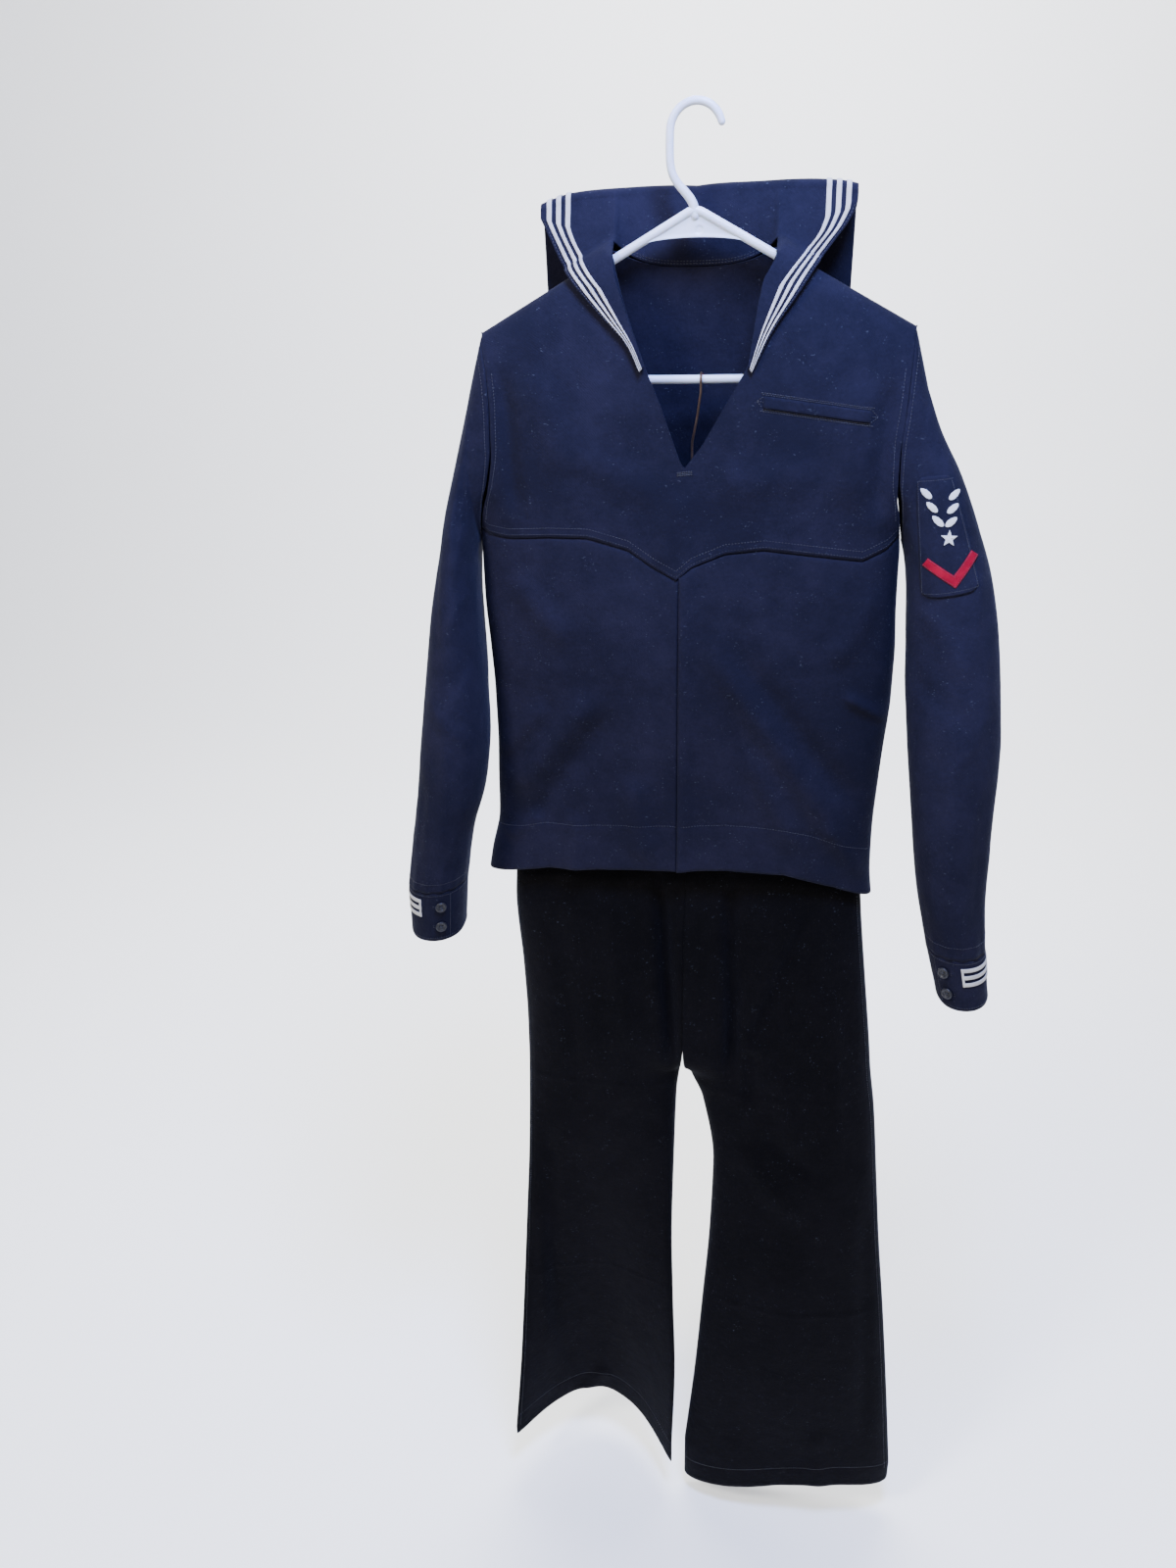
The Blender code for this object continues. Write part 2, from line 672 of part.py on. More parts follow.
def collarSheet():
    """Points and quads of the whole collar, with its columns and rows along the tapes."""
    borders = [0.0]
    for k in range(3):
        start = 6 * mm + tapeStep * k
        borders += [start, start + tapeWide]
    side = [collarHalf - b for b in borders] + [103 * mm, 90 * mm, neckHalf]
    inner = [62 * mm, 40 * mm, 14 * mm]
    xs = [-x for x in side + inner] + [x for x in reversed(side + inner)]
    points, index = [], {}

    def add(key, point):
        index[key] = len(points)
        points.append(point)

    standRows, foldRows = 3, 3
    hangs = list(np.linspace(24 * mm, flapHang - borders[-1], 3))
    hangs += [flapHang - b for b in borders[-2::-1]]
    for column, x in enumerate(xs):
        rise = foldTop(x) - foldRadius - collarBase(x)
        runs = [rise * k / standRows for k in range(standRows + 1)]
        runs += [rise + math.pi * foldRadius * k / foldRows for k in range(1, foldRows + 1)]
        runs += [rise + math.pi * foldRadius + hang for hang in hangs]
        for row, run in enumerate(runs):
            add(("back", row, column), foldedPoint(x, run))
    rows = standRows + foldRows + 1 + len(hangs)
    faces = [tuple(index[("back", i, j)]
                   for i, j in ((r, c), (r, c + 1), (r + 1, c + 1), (r + 1, c)))
             for r in range(rows - 1) for c in range(len(xs) - 1)]
    kinds = {}
    last = len(xs) - 2
    cells = [(r, c) for r in range(rows - 1) for c in range(len(xs) - 1)]
    for number, (r, c) in enumerate(cells):
        for k in range(3):
            low = 1 + 2 * k
            sideways = c == low or c == last - low
            bottom = r == rows - 2 - low
            inside = low <= c <= last - low
            if (sideways and r <= rows - 2 - low) or (bottom and inside):
                kinds.setdefault(k, []).append(number)
    count = lapelRows
    for way, edge, vee in ((-1, collarEdgeLeft, vLeft), (1, collarEdgeRight, vRight)):
        free = along(edge, count)
        neckLine = along(list(reversed(vee[:3])), count)
        columns = len(side)
        reach = [abs(abs(side[0]) - s) for s in side]
        whole = reach[-1]
        for i in range(count - 1):
            a, b = free[i], neckLine[i]
            gap = np.linalg.norm(b - a)
            squeeze = min(1.0, gap / (46 * mm))
            for j in range(columns):
                if j < 7:
                    share = reach[j] * squeeze / gap
                else:
                    taped = reach[6] * squeeze / gap
                    share = taped + (1 - taped) * (reach[j] - reach[6]) / (whole - reach[6])
                x, z = a + (b - a) * min(share, 1.0)
                add((way, i, j), np.array((x, lapelY(x, z), z)))
        for j in range(columns):
            column = j if way < 0 else len(xs) - 1 - j
            index[(way, count - 1, j)] = index[("back", 0, column)]
        for i in range(count - 1):
            for j in range(columns - 1):
                quad = [(i, j), (i, j + 1), (i + 1, j + 1), (i + 1, j)]
                if way > 0:
                    quad.reverse()
                faces.append(tuple(index[(way, r, c)] for r, c in quad))
                if j in (1, 3, 5):
                    kinds.setdefault(j // 2, []).append(len(faces) - 1)
    return np.array(points), faces, kinds


def makeCollar(navy, white):
    points, faces, kinds = collarSheet()
    points[:, 1] -= 0.2 * mm
    normals = faceNormals(points, faces)
    standing = (np.abs(points[:, 0]) < 20 * mm) & (points[:, 2] > -120 * mm) & (points[:, 1] < 36 * mm)
    if normals[standing][:, 1].mean() > 0:
        faces = [tuple(reversed(face)) for face in faces]
        normals = -normals
    wall("collar", points, faces, navy, normals=normals)
    for k in range(3):
        chosen = [faces[number] for number in kinds[k]]
        wall("collar_tape_" + str(k + 1), points, chosen, white, outer=tapeThick + seamGap,
             inner=seamGap, normals=normals)


# ---- trims on the panels -----------------------------------------------------------
def frontSheet(name, corners, columns, rows, lift, thick, look):
    """A patch on the chest: four corners of x and z, moved out from the body's surface."""
    low0, low1, high1, high0 = [np.array(c, float) * mm for c in corners]
    points = []
    for i in range(rows):
        for j in range(columns):
            u, v = j / (columns - 1), i / (rows - 1)
            x, z = (low0 * (1 - u) + low1 * u) * (1 - v) + (high0 * (1 - u) + high1 * u) * v
            points.append((x, torsoY(x, z, -1) - seamGap / 2, z))
    points = np.array(points)
    faces = outward(points, gridFaces(rows, columns), np.array([0, -1.0, 0]))
    return wall(name, points, faces, look, outer=lift + thick, inner=lift)


def droppedSheet(name, corners, columns, rows, tree, thick, look):
    """A patch of four corners of x and z, dropped onto a sheet along the view of the front."""
    low0, low1, high1, high0 = [np.array(c, float) * mm for c in corners]
    points = []
    for i in range(rows):
        for j in range(columns):
            u, v = j / (columns - 1), i / (rows - 1)
            x, z = (low0 * (1 - u) + low1 * u) * (1 - v) + (high0 * (1 - u) + high1 * u) * v
            points.append((x, dropped(tree, x, z), z))
    points = np.array(points)
    faces = outward(points, gridFaces(rows, columns), np.array([0, -1.0, 0]))
    return wall(name, points, faces, look, outer=thick, inner=0.0)


def facetTree(points, faces, normals, lift):
    """The facets of a sheet moved out, ready for rays."""
    moved = [tuple(v) for v in points + normals * lift]
    triangles = []
    for a, b, c, d in faces:
        triangles += [(a, b, c), (a, c, d)]
    return BVHTree.FromPolygons(moved, triangles)


def dropped(tree, x, z):
    hit = tree.ray_cast(Vector((x, -0.4, z)), Vector((0, 1, 0)))
    return hit[0].y


def raisedShape(name, outline, tree, thick, look):
    """A thin raised figure: outline points of x and z dropped onto a sheet, with a middle ridge."""
    count = len(outline)
    front = [(x, dropped(tree, x, z) - thick, z) for x, z in outline]
    back = [(x, dropped(tree, x, z), z) for x, z in outline]
    cx, cz = np.mean(np.array(outline), axis=0)
    hub = dropped(tree, cx, cz)
    vertices = front + back + [(cx, hub - thick, cz), (cx, hub, cz)]
    faces = []
    for k in range(count):
        m = (k + 1) % count
        faces += [(k, m, 2 * count), (count + m, count + k, 2 * count + 1),
                  (m, k, count + k, count + m)]
    mesh = bpy.data.meshes.new(name)
    mesh.from_pydata(vertices, [], faces)
    mesh.update()
    build = bmesh.new()
    build.from_mesh(mesh)
    bmesh.ops.recalc_face_normals(build, faces=build.faces)
    build.to_mesh(mesh)
    build.free()
    return place(name, mesh, look)


def ribbon(name, path, wide, tree, thick, look):
    """A flat strip along a path of x and z, dropped onto a sheet."""
    path = np.array(path, float)
    direction = np.gradient(path, axis=0)
    direction /= np.linalg.norm(direction, axis=1)[:, None]
    across = np.stack([-direction[:, 1], direction[:, 0]], axis=1) * wide / 2
    points = []
    for share in (-1, 0, 1):
        for (x, z), (ax, az) in zip(path, across):
            edgeX, edgeZ = x + ax * share, z + az * share
            points.append((edgeX, dropped(tree, edgeX, edgeZ), edgeZ))
    points = np.array(points)
    faces = outward(points, gridFaces(3, len(path)), np.array([0, -1.0, 0]))
    normals = np.tile((0, -1.0, 0), (len(points), 1))
    return wall(name, points, faces, look, outer=thick, inner=0.0, normals=normals)


# ---- trousers ----------------------------------------------------------------------
foldsInTrousers = [
    # x at the top, x at the bottom, z top, z bottom, depth, half width (mm)
    (-30, -12, -770, -1050, 9, 8),
    (52, 62, -770, -1070, 8, 8),
    (150, 82, -800, -1000, 5, 12),
]


def trouserFold(x, z):
    depth = 0.0
    for topX, lowX, topZ, lowZ, deep, half in foldsInTrousers:
        share = (topZ * mm - z) / ((topZ - lowZ) * mm)
        ends = max(0.0, 1 - (2 * share - 1) ** 4) if 0 < share < 1 else 0.0
        middle = (topX + (lowX - topX) * share) * mm
        depth += deep * mm * ends * math.exp(-((x - middle) / (half * mm)) ** 2)
    return depth


def legPoint(rows, u, z, face):
    outer, inner, middle, half, crescent = smoothTable(rows, z)
    spread = -math.cos(math.pi * u)
    x = outer + (inner - outer) * (1 + spread) / 2
    bend = crescent * (1 - spread ** 2)
    joined = np.clip((z - (crotchZ - 15 * mm)) / (60 * mm), 0, 1)
    if u > 0.5:
        spread *= 1 - joined * joined * (3 - 2 * joined)
    profile = max(0.0, 1 - abs(spread) ** 2.4) ** 0.42
    y = middle + face * half * profile + bend
    if face < 0:
        y += trouserFold(x, z) * profile
    return np.array((x, y, z))


def legHemZ(points, u):
    table = np.array(points, float)
    return float(np.interp((1 - math.cos(math.pi * u)) / 2, table[:, 0], table[:, 1])) * mm


def makeLegPanel(name, rows, hem, side, face, look):
    columns, count = 11, legRings
    points = []
    for i in range(count):
        for j in range(columns):
            u = j / (columns - 1)
            z = waistZ + (legHemZ(hem, u) - waistZ) * i / (count - 1)
            points.append(legPoint(rows, u, z, face))
    points = np.array(points)
    faces = outward(points, gridFaces(count, columns), np.array([0, face, 0.0]))
    normals = faceNormals(points, faces)
    for corner in range(len(points)):
        column, z = corner % columns, points[corner, 2]
        if column == 0:
            normals[corner] = (side, 0, 0)
        if column == columns - 1:
            if z < crotchZ - 12 * mm:
                normals[corner] = (-side, 0, 0)
            else:
                normals[corner, 0] = 0
        normals[corner] /= np.linalg.norm(normals[corner])
    points[:, 1] += face * seamGap
    # parted in two under the seat, so that each piece keeps close to its own curve
    cut = legSplitRow * columns
    seat = [f for f in faces if max(f) < cut + columns]
    leg = [f for f in faces if min(f) >= cut]
    lowered = points.copy()
    lowered[cut:cut + columns, 2] -= seamGap
    level = normals.copy()
    level[cut:cut + columns, 2] = 0
    level /= np.linalg.norm(level, axis=1)[:, None]
    wall(name, points, seat, look, normals=level)
    wall(name + "_leg", lowered, leg, look, normals=level)


def makeWaistband(look):
    """A flat band over both legs' tops, pinched as it hangs from the clips."""
    points, around = [], []
    columns = 9
    for side, face in ((-1, -1), (1, -1), (1, 1), (-1, 1)):
        rows = legLeftRows if side < 0 else legRightRows
        order = range(columns - 1) if side == face else range(columns - 1, 0, -1)
        for j in order:
            around.append((rows, j / (columns - 1), face))
    for share in (0.0, 0.5, 1.0):
        for rows, u, face in around:
            point = legPoint(rows, u, waistZ, face)
            point[1] = bandY + (point[1] - bandY) * (1 - 0.55 * share)
            point[2] = waistZ + 0.4 * mm + bandHigh * share
            points.append(point)
    points = np.array(points)
    count = len(around)
    centre = np.array((0, bandY, 0))
    away = (points - centre) * (0.1, 1, 0)
    faces = outward(points, gridFaces(3, count, closed=True), away)
    normals = faceNormals(points, faces)
    normals[:, 2] = 0
    normals /= np.linalg.norm(normals, axis=1)[:, None]
    return wall("trousers_waistband", points, faces, look, normals=normals)


# ---- hangers -----------------------------------------------------------------------
def tube(name, path, radius, look, closed=False, sides=3):
    """A round bar along a path, with flat ends."""
    curve = bpy.data.curves.new(name, "CURVE")
    curve.dimensions = "3D"
    spline = curve.splines.new("POLY")
    spline.points.add(len(path) - 1)
    for point, at in zip(spline.points, path):
        point.co = (*at, 1)
    spline.use_cyclic_u = closed
    curve.bevel_depth = radius
    curve.bevel_resolution = sides
    curve.use_fill_caps = True
    made = bpy.data.objects.new(name, curve)
    bpy.context.scene.collection.objects.link(made)
    graph = bpy.context.evaluated_depsgraph_get()
    mesh = bpy.data.meshes.new_from_object(made.evaluated_get(graph))
    bpy.data.objects.remove(made)
    bpy.data.curves.remove(curve)
    mesh.name = name
    return place(name, mesh, look)


def arc(centre, radius, start, end, count):
    angles = np.radians(np.linspace(start, end, count))
    return [(centre[0] + radius * math.cos(a), 0.0, centre[1] + radius * math.sin(a)) for a in angles]


def joinSolids(base, others):
    """One body out of several that overlap."""
    bpy.context.view_layer.objects.active = base
    for other in others:
        union = base.modifiers.new("join", "BOOLEAN")
        union.operation = "UNION"
        union.solver = "EXACT"
        union.object = other
    graph = bpy.context.evaluated_depsgraph_get()
    graph.update()
    mesh = bpy.data.meshes.new_from_object(base.evaluated_get(graph))
    base.modifiers.clear()
    base.data = mesh
    mesh.shade_smooth()
    mesh.set_sharp_from_angle(angle=math.radians(40))
    for other in others:
        bpy.data.objects.remove(other)
    return base


def makeHanger(look):
    hookCentre = (0.0, -hookInner)
    hookLine = hookInner + stemRadius
    bendZ = barZ + endBend
    bendX = (armTopZ - bendZ - endBend * math.hypot(1, armSlope)) / armSlope
    tilt = math.degrees(math.atan(armSlope))
    right = arc((bendX, bendZ), endBend, 90 - tilt, -90, 9)
    left = [(-x, y, z) for x, y, z in reversed(right)]
    loop = [(0.0, 0.0, armTopZ)] + right + left
    frame = tube("hanger", loop, tubeRadius, look, closed=True)
    hook = arc(hookCentre, hookLine, 15, 180, 14)
    shank = [(-hookLine, 0.0, -44 * mm), (-hookLine + 1.5 * mm, 0.0, -54 * mm),
             (-16 * mm, 0.0, -64 * mm), (-7 * mm, 0.0, -72 * mm), (-1 * mm, 0.0, -80 * mm),
             (0.0, 0.0, armTopZ - 6 * mm)]
    stem = tube("hanger_hook", hook + shank, stemRadius, look)
    web = makeWeb(look)
    return joinSolids(frame, [stem, web])


def makeWeb(look):
    """Flat plate under the two arms, its lower edge an arch."""
    half = webHalf
    fall = armSlope * half
    top = [(-half, armTopZ - fall), (0.0, armTopZ), (half, armTopZ - fall)]
    rise, below = 8 * mm, 3 * mm
    arch = [(half * math.cos(a), armTopZ - fall - below + rise * math.sin(a))
            for a in np.linspace(0, math.pi, 11)]
    outline = top + arch
    mesh = bpy.data.meshes.new("web")
    build = bmesh.new()
    corners = [build.verts.new((x, -webThick / 2, z)) for x, z in outline]
    face = build.faces.new(corners)
    grown = bmesh.ops.extrude_face_region(build, geom=[face])
    moved = [v for v in grown["geom"] if isinstance(v, bmesh.types.BMVert)]
    bmesh.ops.translate(build, verts=moved, vec=(0, webThick, 0))
    bmesh.ops.recalc_face_normals(build, faces=build.faces)
    build.to_mesh(mesh)
    build.free()
    return place("hanger_web", mesh, look)


def makeTrouserHanger(steel, grip):
    """A wire hook over the bar, a long shank and a cross wire with two clips."""
    bend = tubeRadius + wireRadius + 0.4 * mm
    hookX = 8 * mm
    over = [(hookX, bend * math.cos(math.radians(a)), barZ + bend * math.sin(math.radians(a)))
            for a in np.linspace(-15, 180, 12)]
    shank = [(hookX, -bend, barZ - 12 * mm), (hookX - 3 * mm, -bend + 2 * mm, barZ - 34 * mm),
             (0.0, bandY, barZ - 60 * mm), (0.0, bandY, clipTopZ)]
    hook = tube("trouser_hanger", over + shank, wireRadius, steel, sides=2)
    cross = tube("trouser_cross", [(-crossHalf, bandY, clipTopZ), (crossHalf, bandY, clipTopZ)],
                 crossRadius, steel, sides=2)
    joinSolids(hook, [cross])
    for side, name in ((-1, "trouser_clip_left"), (1, "trouser_clip_right")):
        makeClip(name, side * clipOut, grip)


def box(name, low, high, look=None):
    mesh = bpy.data.meshes.new(name)
    build = bmesh.new()
    bmesh.ops.create_cube(build, size=1.0)
    for v in build.verts:
        for k in range(3):
            v.co[k] = low[k] if v.co[k] < 0 else high[k]
    build.to_mesh(mesh)
    build.free()
    if look is None:
        made = bpy.data.objects.new(name, mesh)
        bpy.context.scene.collection.objects.link(made)
        return made
    return place(name, mesh, look)


def makeClip(name, x, look):
    """A sprung clip: a block round the cross wire with a jaw each side of the band."""
    jawHalf, clear = 13 * mm, 2.4 * mm
    deep = clipHalfDepth
    top = clipTopZ + 7 * mm
    low = waistZ + bandHigh - 16 * mm
    body = box(name, (x - jawHalf, bandY - deep - clear, low),
               (x + jawHalf, bandY + deep + clear, top), look)
    slot = box("slot", (x - jawHalf - 1 * mm, bandY - deep, low - 1 * mm),
               (x + jawHalf + 1 * mm, bandY + deep, waistZ + bandHigh + 0.8 * mm))
    bore = tube("bore", [(x - jawHalf - 2 * mm, bandY, clipTopZ),
                         (x + jawHalf + 2 * mm, bandY, clipTopZ)],
                crossRadius + 0.4 * mm, look, sides=2)
    for cutter in (slot, bore):
        cutter.hide_render = True
        cutter.display_type = "WIRE"
        cut = body.modifiers.new("cut", "BOOLEAN")
        cut.operation = "DIFFERENCE"
        cut.solver = "EXACT"
        cut.object = cutter
    return body


# ---- the whole object --------------------------------------------------------------
def leaf(cx, cz, length, half, lean):
    """Outline of one leaf, pointed at both ends."""
    points = []
    for k in range(8):
        angle = 2 * math.pi * k / 8
        u = math.cos(angle) * length / 2
        v = math.sin(angle) * half * (1 - 0.25 * abs(math.cos(angle)))
        points.append((cx + u * math.cos(lean) - v * math.sin(lean),
                       cz + u * math.sin(lean) + v * math.cos(lean)))
    return points


def star(cx, cz, radius):
    points = []
    for k in range(10):
        r = radius if k % 2 == 0 else radius * 0.42
        angle = math.pi / 2 + k * math.pi / 5
        points.append((cx + r * math.cos(angle), cz + r * math.sin(angle)))
    return points


def makeBadge(sleeve, navy, white, red):
    """Rating patch on the right sleeve: leaf sprays, a star and one red chevron."""
    points, faces, normals = sleeve
    ground = facetTree(points, faces, normals, 0.8 * mm)
    droppedSheet("badge_patch", badgeCorners, 9, 14, ground, 1.0 * mm, navy)
    tree = facetTree(points, faces, normals, 2.65 * mm)
    arms = along([(231, -401), (259, -417), (277, -391)], 11)
    ribbon("badge_chevron", arms, 9 * mm, tree, 0.8 * mm, red)
    x0, z0 = badgeX, badgeZ
    raisedShape("badge_star", star(x0 + 8 * mm, z0 - 25 * mm, 8 * mm), tree, 0.9 * mm, white)
    for side, label in ((-1, "left"), (1, "right")):
        for k in range(3):
            cx = x0 + (side * (6 + 3.5 * k) + 2.5 * (2 - k)) * mm - 2 * mm
            cz = z0 + (12 * k - 10) * mm
            raisedShape("badge_leaf_" + label + "_" + str(k + 1),
                        leaf(cx, cz, 13 * mm, 2.8 * mm,
                             side * math.radians(38) + math.radians(90 - 90 * side)),
                        tree, 0.9 * mm, white)


def main():
    for thing in list(bpy.data.objects):
        bpy.data.objects.remove(thing)
    navy = material("navy wool", (0.012, 0.022, 0.075), 0.9)
    white = material("white tape", (0.75, 0.75, 0.72), 0.8)
    red = material("red felt", (0.45, 0.02, 0.03), 0.85)
    black = material("black button", (0.02, 0.02, 0.022), 0.35)
    plastic = material("white plastic", (0.78, 0.8, 0.84), 0.35)
    steel = material("bronzed wire", (0.2, 0.13, 0.08), 0.4, 1.0)
    grip = material("grey clip", (0.12, 0.12, 0.13), 0.5)

    makeYoke(navy)
    makeLowerFronts(navy)
    makeBack(navy)
    makeSleeve("sleeve_left", sleeveLeftRows, -1, navy)
    sleeve = makeSleeve("sleeve_right", sleeveRightRows, 1, navy)
    makeBadge(sleeve[1:], navy, white, red)
    for name, rows, start, sweep, buttonAngle in (
            ("left", cuffLeftRows, math.radians(68), -math.radians(150), math.radians(112)),
            ("right", cuffRightRows, math.radians(97), -math.radians(150), math.radians(125))):
        table = makeCuff("cuff_" + name, rows, navy)[0]
        makeCuffTape("cuff_tapes_" + name, table, start, sweep, white)
        for k, share in enumerate(cuffButtonShares):
            point, out = onRing(table, share, buttonAngle, 1.0 * mm)
            disc("cuff_button_" + name + "_" + str(k + 1), point, out, 6.3 * mm, 2.6 * mm, black)
    makeCollar(navy, white)
    frontSheet("pocket_welt", [(70, -257), (170, -272), (170, -262), (70, -247)], 9, 3,
               0.4 * mm, 1.2 * mm, navy)
    for side, rows, hem, label in ((-1, legLeftRows, hemLeftLeg, "left"),
                                   (1, legRightRows, hemRightLeg, "right")):
        for face, where in ((-1, "front"), (1, "back")):
            makeLegPanel("trousers_" + where + "_" + label, rows, hem, side, face, navy)
    makeWaistband(navy)
    makeHanger(plastic)
    makeTrouserHanger(steel, grip)


main()
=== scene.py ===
import json
import math
import bpy
import numpy as np
from mathutils import Matrix, Vector

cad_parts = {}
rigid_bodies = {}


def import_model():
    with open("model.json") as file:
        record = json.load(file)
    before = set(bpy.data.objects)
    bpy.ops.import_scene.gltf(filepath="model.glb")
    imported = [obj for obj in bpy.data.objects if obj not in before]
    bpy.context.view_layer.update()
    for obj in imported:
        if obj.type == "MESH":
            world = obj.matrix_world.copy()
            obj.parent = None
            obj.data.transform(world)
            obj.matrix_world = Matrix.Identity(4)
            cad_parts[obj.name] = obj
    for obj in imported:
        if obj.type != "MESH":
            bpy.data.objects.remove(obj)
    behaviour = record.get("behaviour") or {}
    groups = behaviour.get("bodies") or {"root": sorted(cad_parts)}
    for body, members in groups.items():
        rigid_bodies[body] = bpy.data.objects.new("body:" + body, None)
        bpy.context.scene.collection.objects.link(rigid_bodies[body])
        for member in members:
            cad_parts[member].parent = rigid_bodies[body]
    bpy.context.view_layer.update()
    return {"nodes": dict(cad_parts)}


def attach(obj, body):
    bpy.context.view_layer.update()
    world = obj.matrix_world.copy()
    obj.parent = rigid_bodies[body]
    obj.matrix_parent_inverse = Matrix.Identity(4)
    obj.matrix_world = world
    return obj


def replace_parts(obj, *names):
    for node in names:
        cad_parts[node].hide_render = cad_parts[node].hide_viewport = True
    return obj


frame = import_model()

mm = 0.001
print("frame loaded:", len(frame["nodes"]), "solids")

# Sailor's jumper and bell-bottomed trousers on a plastic hanger. Metres, +Z up, the front faces -Y,
# left and right are the viewer's, and the origin is the inside top of the hanger's hook.
# Tables of places and folds are in millimetres.


def addObject(name, data):
    made = bpy.data.objects.new(name, data)
    bpy.context.scene.collection.objects.link(made)
    return made


# camera and lamps
camera = {"place": (0.0754, -1.2201, -0.1107), "yaw": 8.894, "down": 24.697, "roll": -1.539,
          "lens": 27.0, "sensor": 36.0}
lamps = {  # place, width, watts, colour, aim
    "key": ((-1.5, -1.5, 1.1), 0.7, 88, (1.0, 0.98, 0.95), (0, 0, -0.45)),
    "top": ((0.2, -0.6, 0.75), 0.45, 92, (0.33, 0.44, 1.0), (0, 0, -0.2)),
    "side": ((1.9, -1.5, 0.1), 1.3, 14, (1.0, 0.98, 0.95), (0, 0, -0.6)),
    "rim": ((-1.6, 1.3, 0.7), 1.2, 22, (1.0, 1.0, 1.0), (0, 0, -0.75)),
    "wall": ((0.0, 1.3, 1.6), 2.0, 210, (1.0, 1.0, 1.0), (0, 3.4, -1.0))}
sky = {"colour": (0.97, 0.98, 1.0, 1), "strength": 0.95}


def placeCamera():
    # looks down by one angle and round by another, then rolls about its own axis
    yaw, down, roll = (math.radians(camera[k]) for k in ("yaw", "down", "roll"))
    ahead = Vector((-math.sin(yaw) * math.cos(down), math.cos(yaw) * math.cos(down), -math.sin(down)))
    right = Vector((math.cos(yaw), math.sin(yaw), 0))
    up = right.cross(ahead)
    right, up = right * math.cos(roll) + up * math.sin(roll), up * math.cos(roll) - right * math.sin(roll)
    data = bpy.data.cameras.new("photoCamera")
    data.lens, data.sensor_width, data.sensor_fit = camera["lens"], camera["sensor"], "AUTO"
    made = addObject("photoCamera", data)
    made.matrix_world = Matrix.Translation(camera["place"]) @ Matrix((right, up, -ahead)).transposed().to_4x4()
    bpy.context.scene.camera = made


def placeLamps():
    for name, (place, width, watts, colour, aim) in lamps.items():
        data = bpy.data.lights.new(name + "Lamp", "AREA")
        data.shape, data.size, data.energy, data.color = "DISK", width, watts, colour
        made = addObject(name + "Lamp", data)
        made.location = place
        made.rotation_mode = "QUATERNION"
        made.rotation_quaternion = (Vector(aim) - Vector(place)).to_track_quat("-Z", "Y")
    world = bpy.data.worlds.new("paleRoom")
    world.use_nodes = True
    light = world.node_tree.nodes["Background"].inputs
    light["Color"].default_value, light["Strength"].default_value = sky["colour"], sky["strength"]
    bpy.context.scene.world = world


# materials
class Field:
    # one shader socket; sums and products on it add Math nodes
    def __init__(self, look, socket):
        self.look, self.socket = look, socket

    def math(self, operation, other=0.0, clamp=False):
        return self.look.node("ShaderNodeMath", {"operation": operation, "use_clamp": clamp},
                              {0: self, 1: other})

    def __add__(self, other): return self.math("ADD", other)
    __radd__ = __add__
    def __sub__(self, other): return self.math("SUBTRACT", other)
    def __mul__(self, other): return self.math("MULTIPLY", other)
    def above(self, level): return self.math("GREATER_THAN", level)
    def clipped(self): return self.math("ADD", 0.0, clamp=True)
    def wave(self): return self.math("SINE") * 0.5 + 0.5


class Look:
    # a material: fixed numbers go straight on the shader's sockets
    def __init__(self, name, slot, fixed):
        self.material = bpy.data.materials.new(name)
        self.material.use_nodes = True
        self.tree = self.material.node_tree
        self.shader = self.tree.nodes["Principled BSDF"]
        self.slot = slot
        for socket, value in fixed.items():
            self.shader.inputs[socket].default_value = value

    def node(self, kind, settings=None, sockets=None, output=0):
        made = self.tree.nodes.new(kind)
        for key, value in (settings or {}).items():
            setattr(made, key, value)
        for key, value in (sockets or {}).items():
            if isinstance(value, Field):
                self.tree.links.new(value.socket, made.inputs[key])
            else:
                made.inputs[key].default_value = value
        return Field(self, made.outputs[output])

    def noise(self, scale, detail=3.0, rough=0.55, stretch=(1, 1, 1)):
        # cloudy noise in the part's own metres, drawn out along an axis by a scale under 1
        place = self.node("ShaderNodeTexCoord", output="Object")
        place = self.node("ShaderNodeMapping", {}, {"Vector": place, "Scale": stretch})
        return self.node("ShaderNodeTexNoise", {}, {"Vector": place, "Scale": scale, "Detail": detail,
                                                    "Roughness": rough})

    def cloth(self):
        # metres along and down the cloth
        place = self.node("ShaderNodeTexCoord", output="UV")
        return [self.node("ShaderNodeSeparateXYZ", {}, {"Vector": place}, output) for output in (0, 1)]

    def mix(self, share, low, high):
        low, high = (c if isinstance(c, Field) else (*c, 1.0) for c in (low, high))
        return self.node("ShaderNodeMix", {"data_type": "RGBA"}, {0: share, 6: low, 7: high}, output=2)

    def bump(self, height, depth, before=None):
        under = {} if before is None else {"Normal": before}
        return self.node("ShaderNodeBump", {}, {"Height": height, "Distance": depth, "Strength": 1.0, **under})

    def finish(self, colour, rough, normal):
        for socket, field in (("Base Color", colour), ("Roughness", rough), ("Normal", normal)):
            self.tree.links.new(field.socket, self.shader.inputs[socket])
        return self


wool = {"jumper": {"colour": (0.0042, 0.0042, 0.0098), "worn": (0.0100, 0.0092, 0.0196), "lint": 0.778,
                   "slot": "navy_wool"},
        "trousers": {"colour": (0.0005, 0.0004, 0.0006), "worn": (0.0021, 0.0018, 0.0024), "lint": 0.79,
                     "slot": "trouser_wool"},
        "lintColour": (0.045, 0.05, 0.065), "ribs": 2600.0}


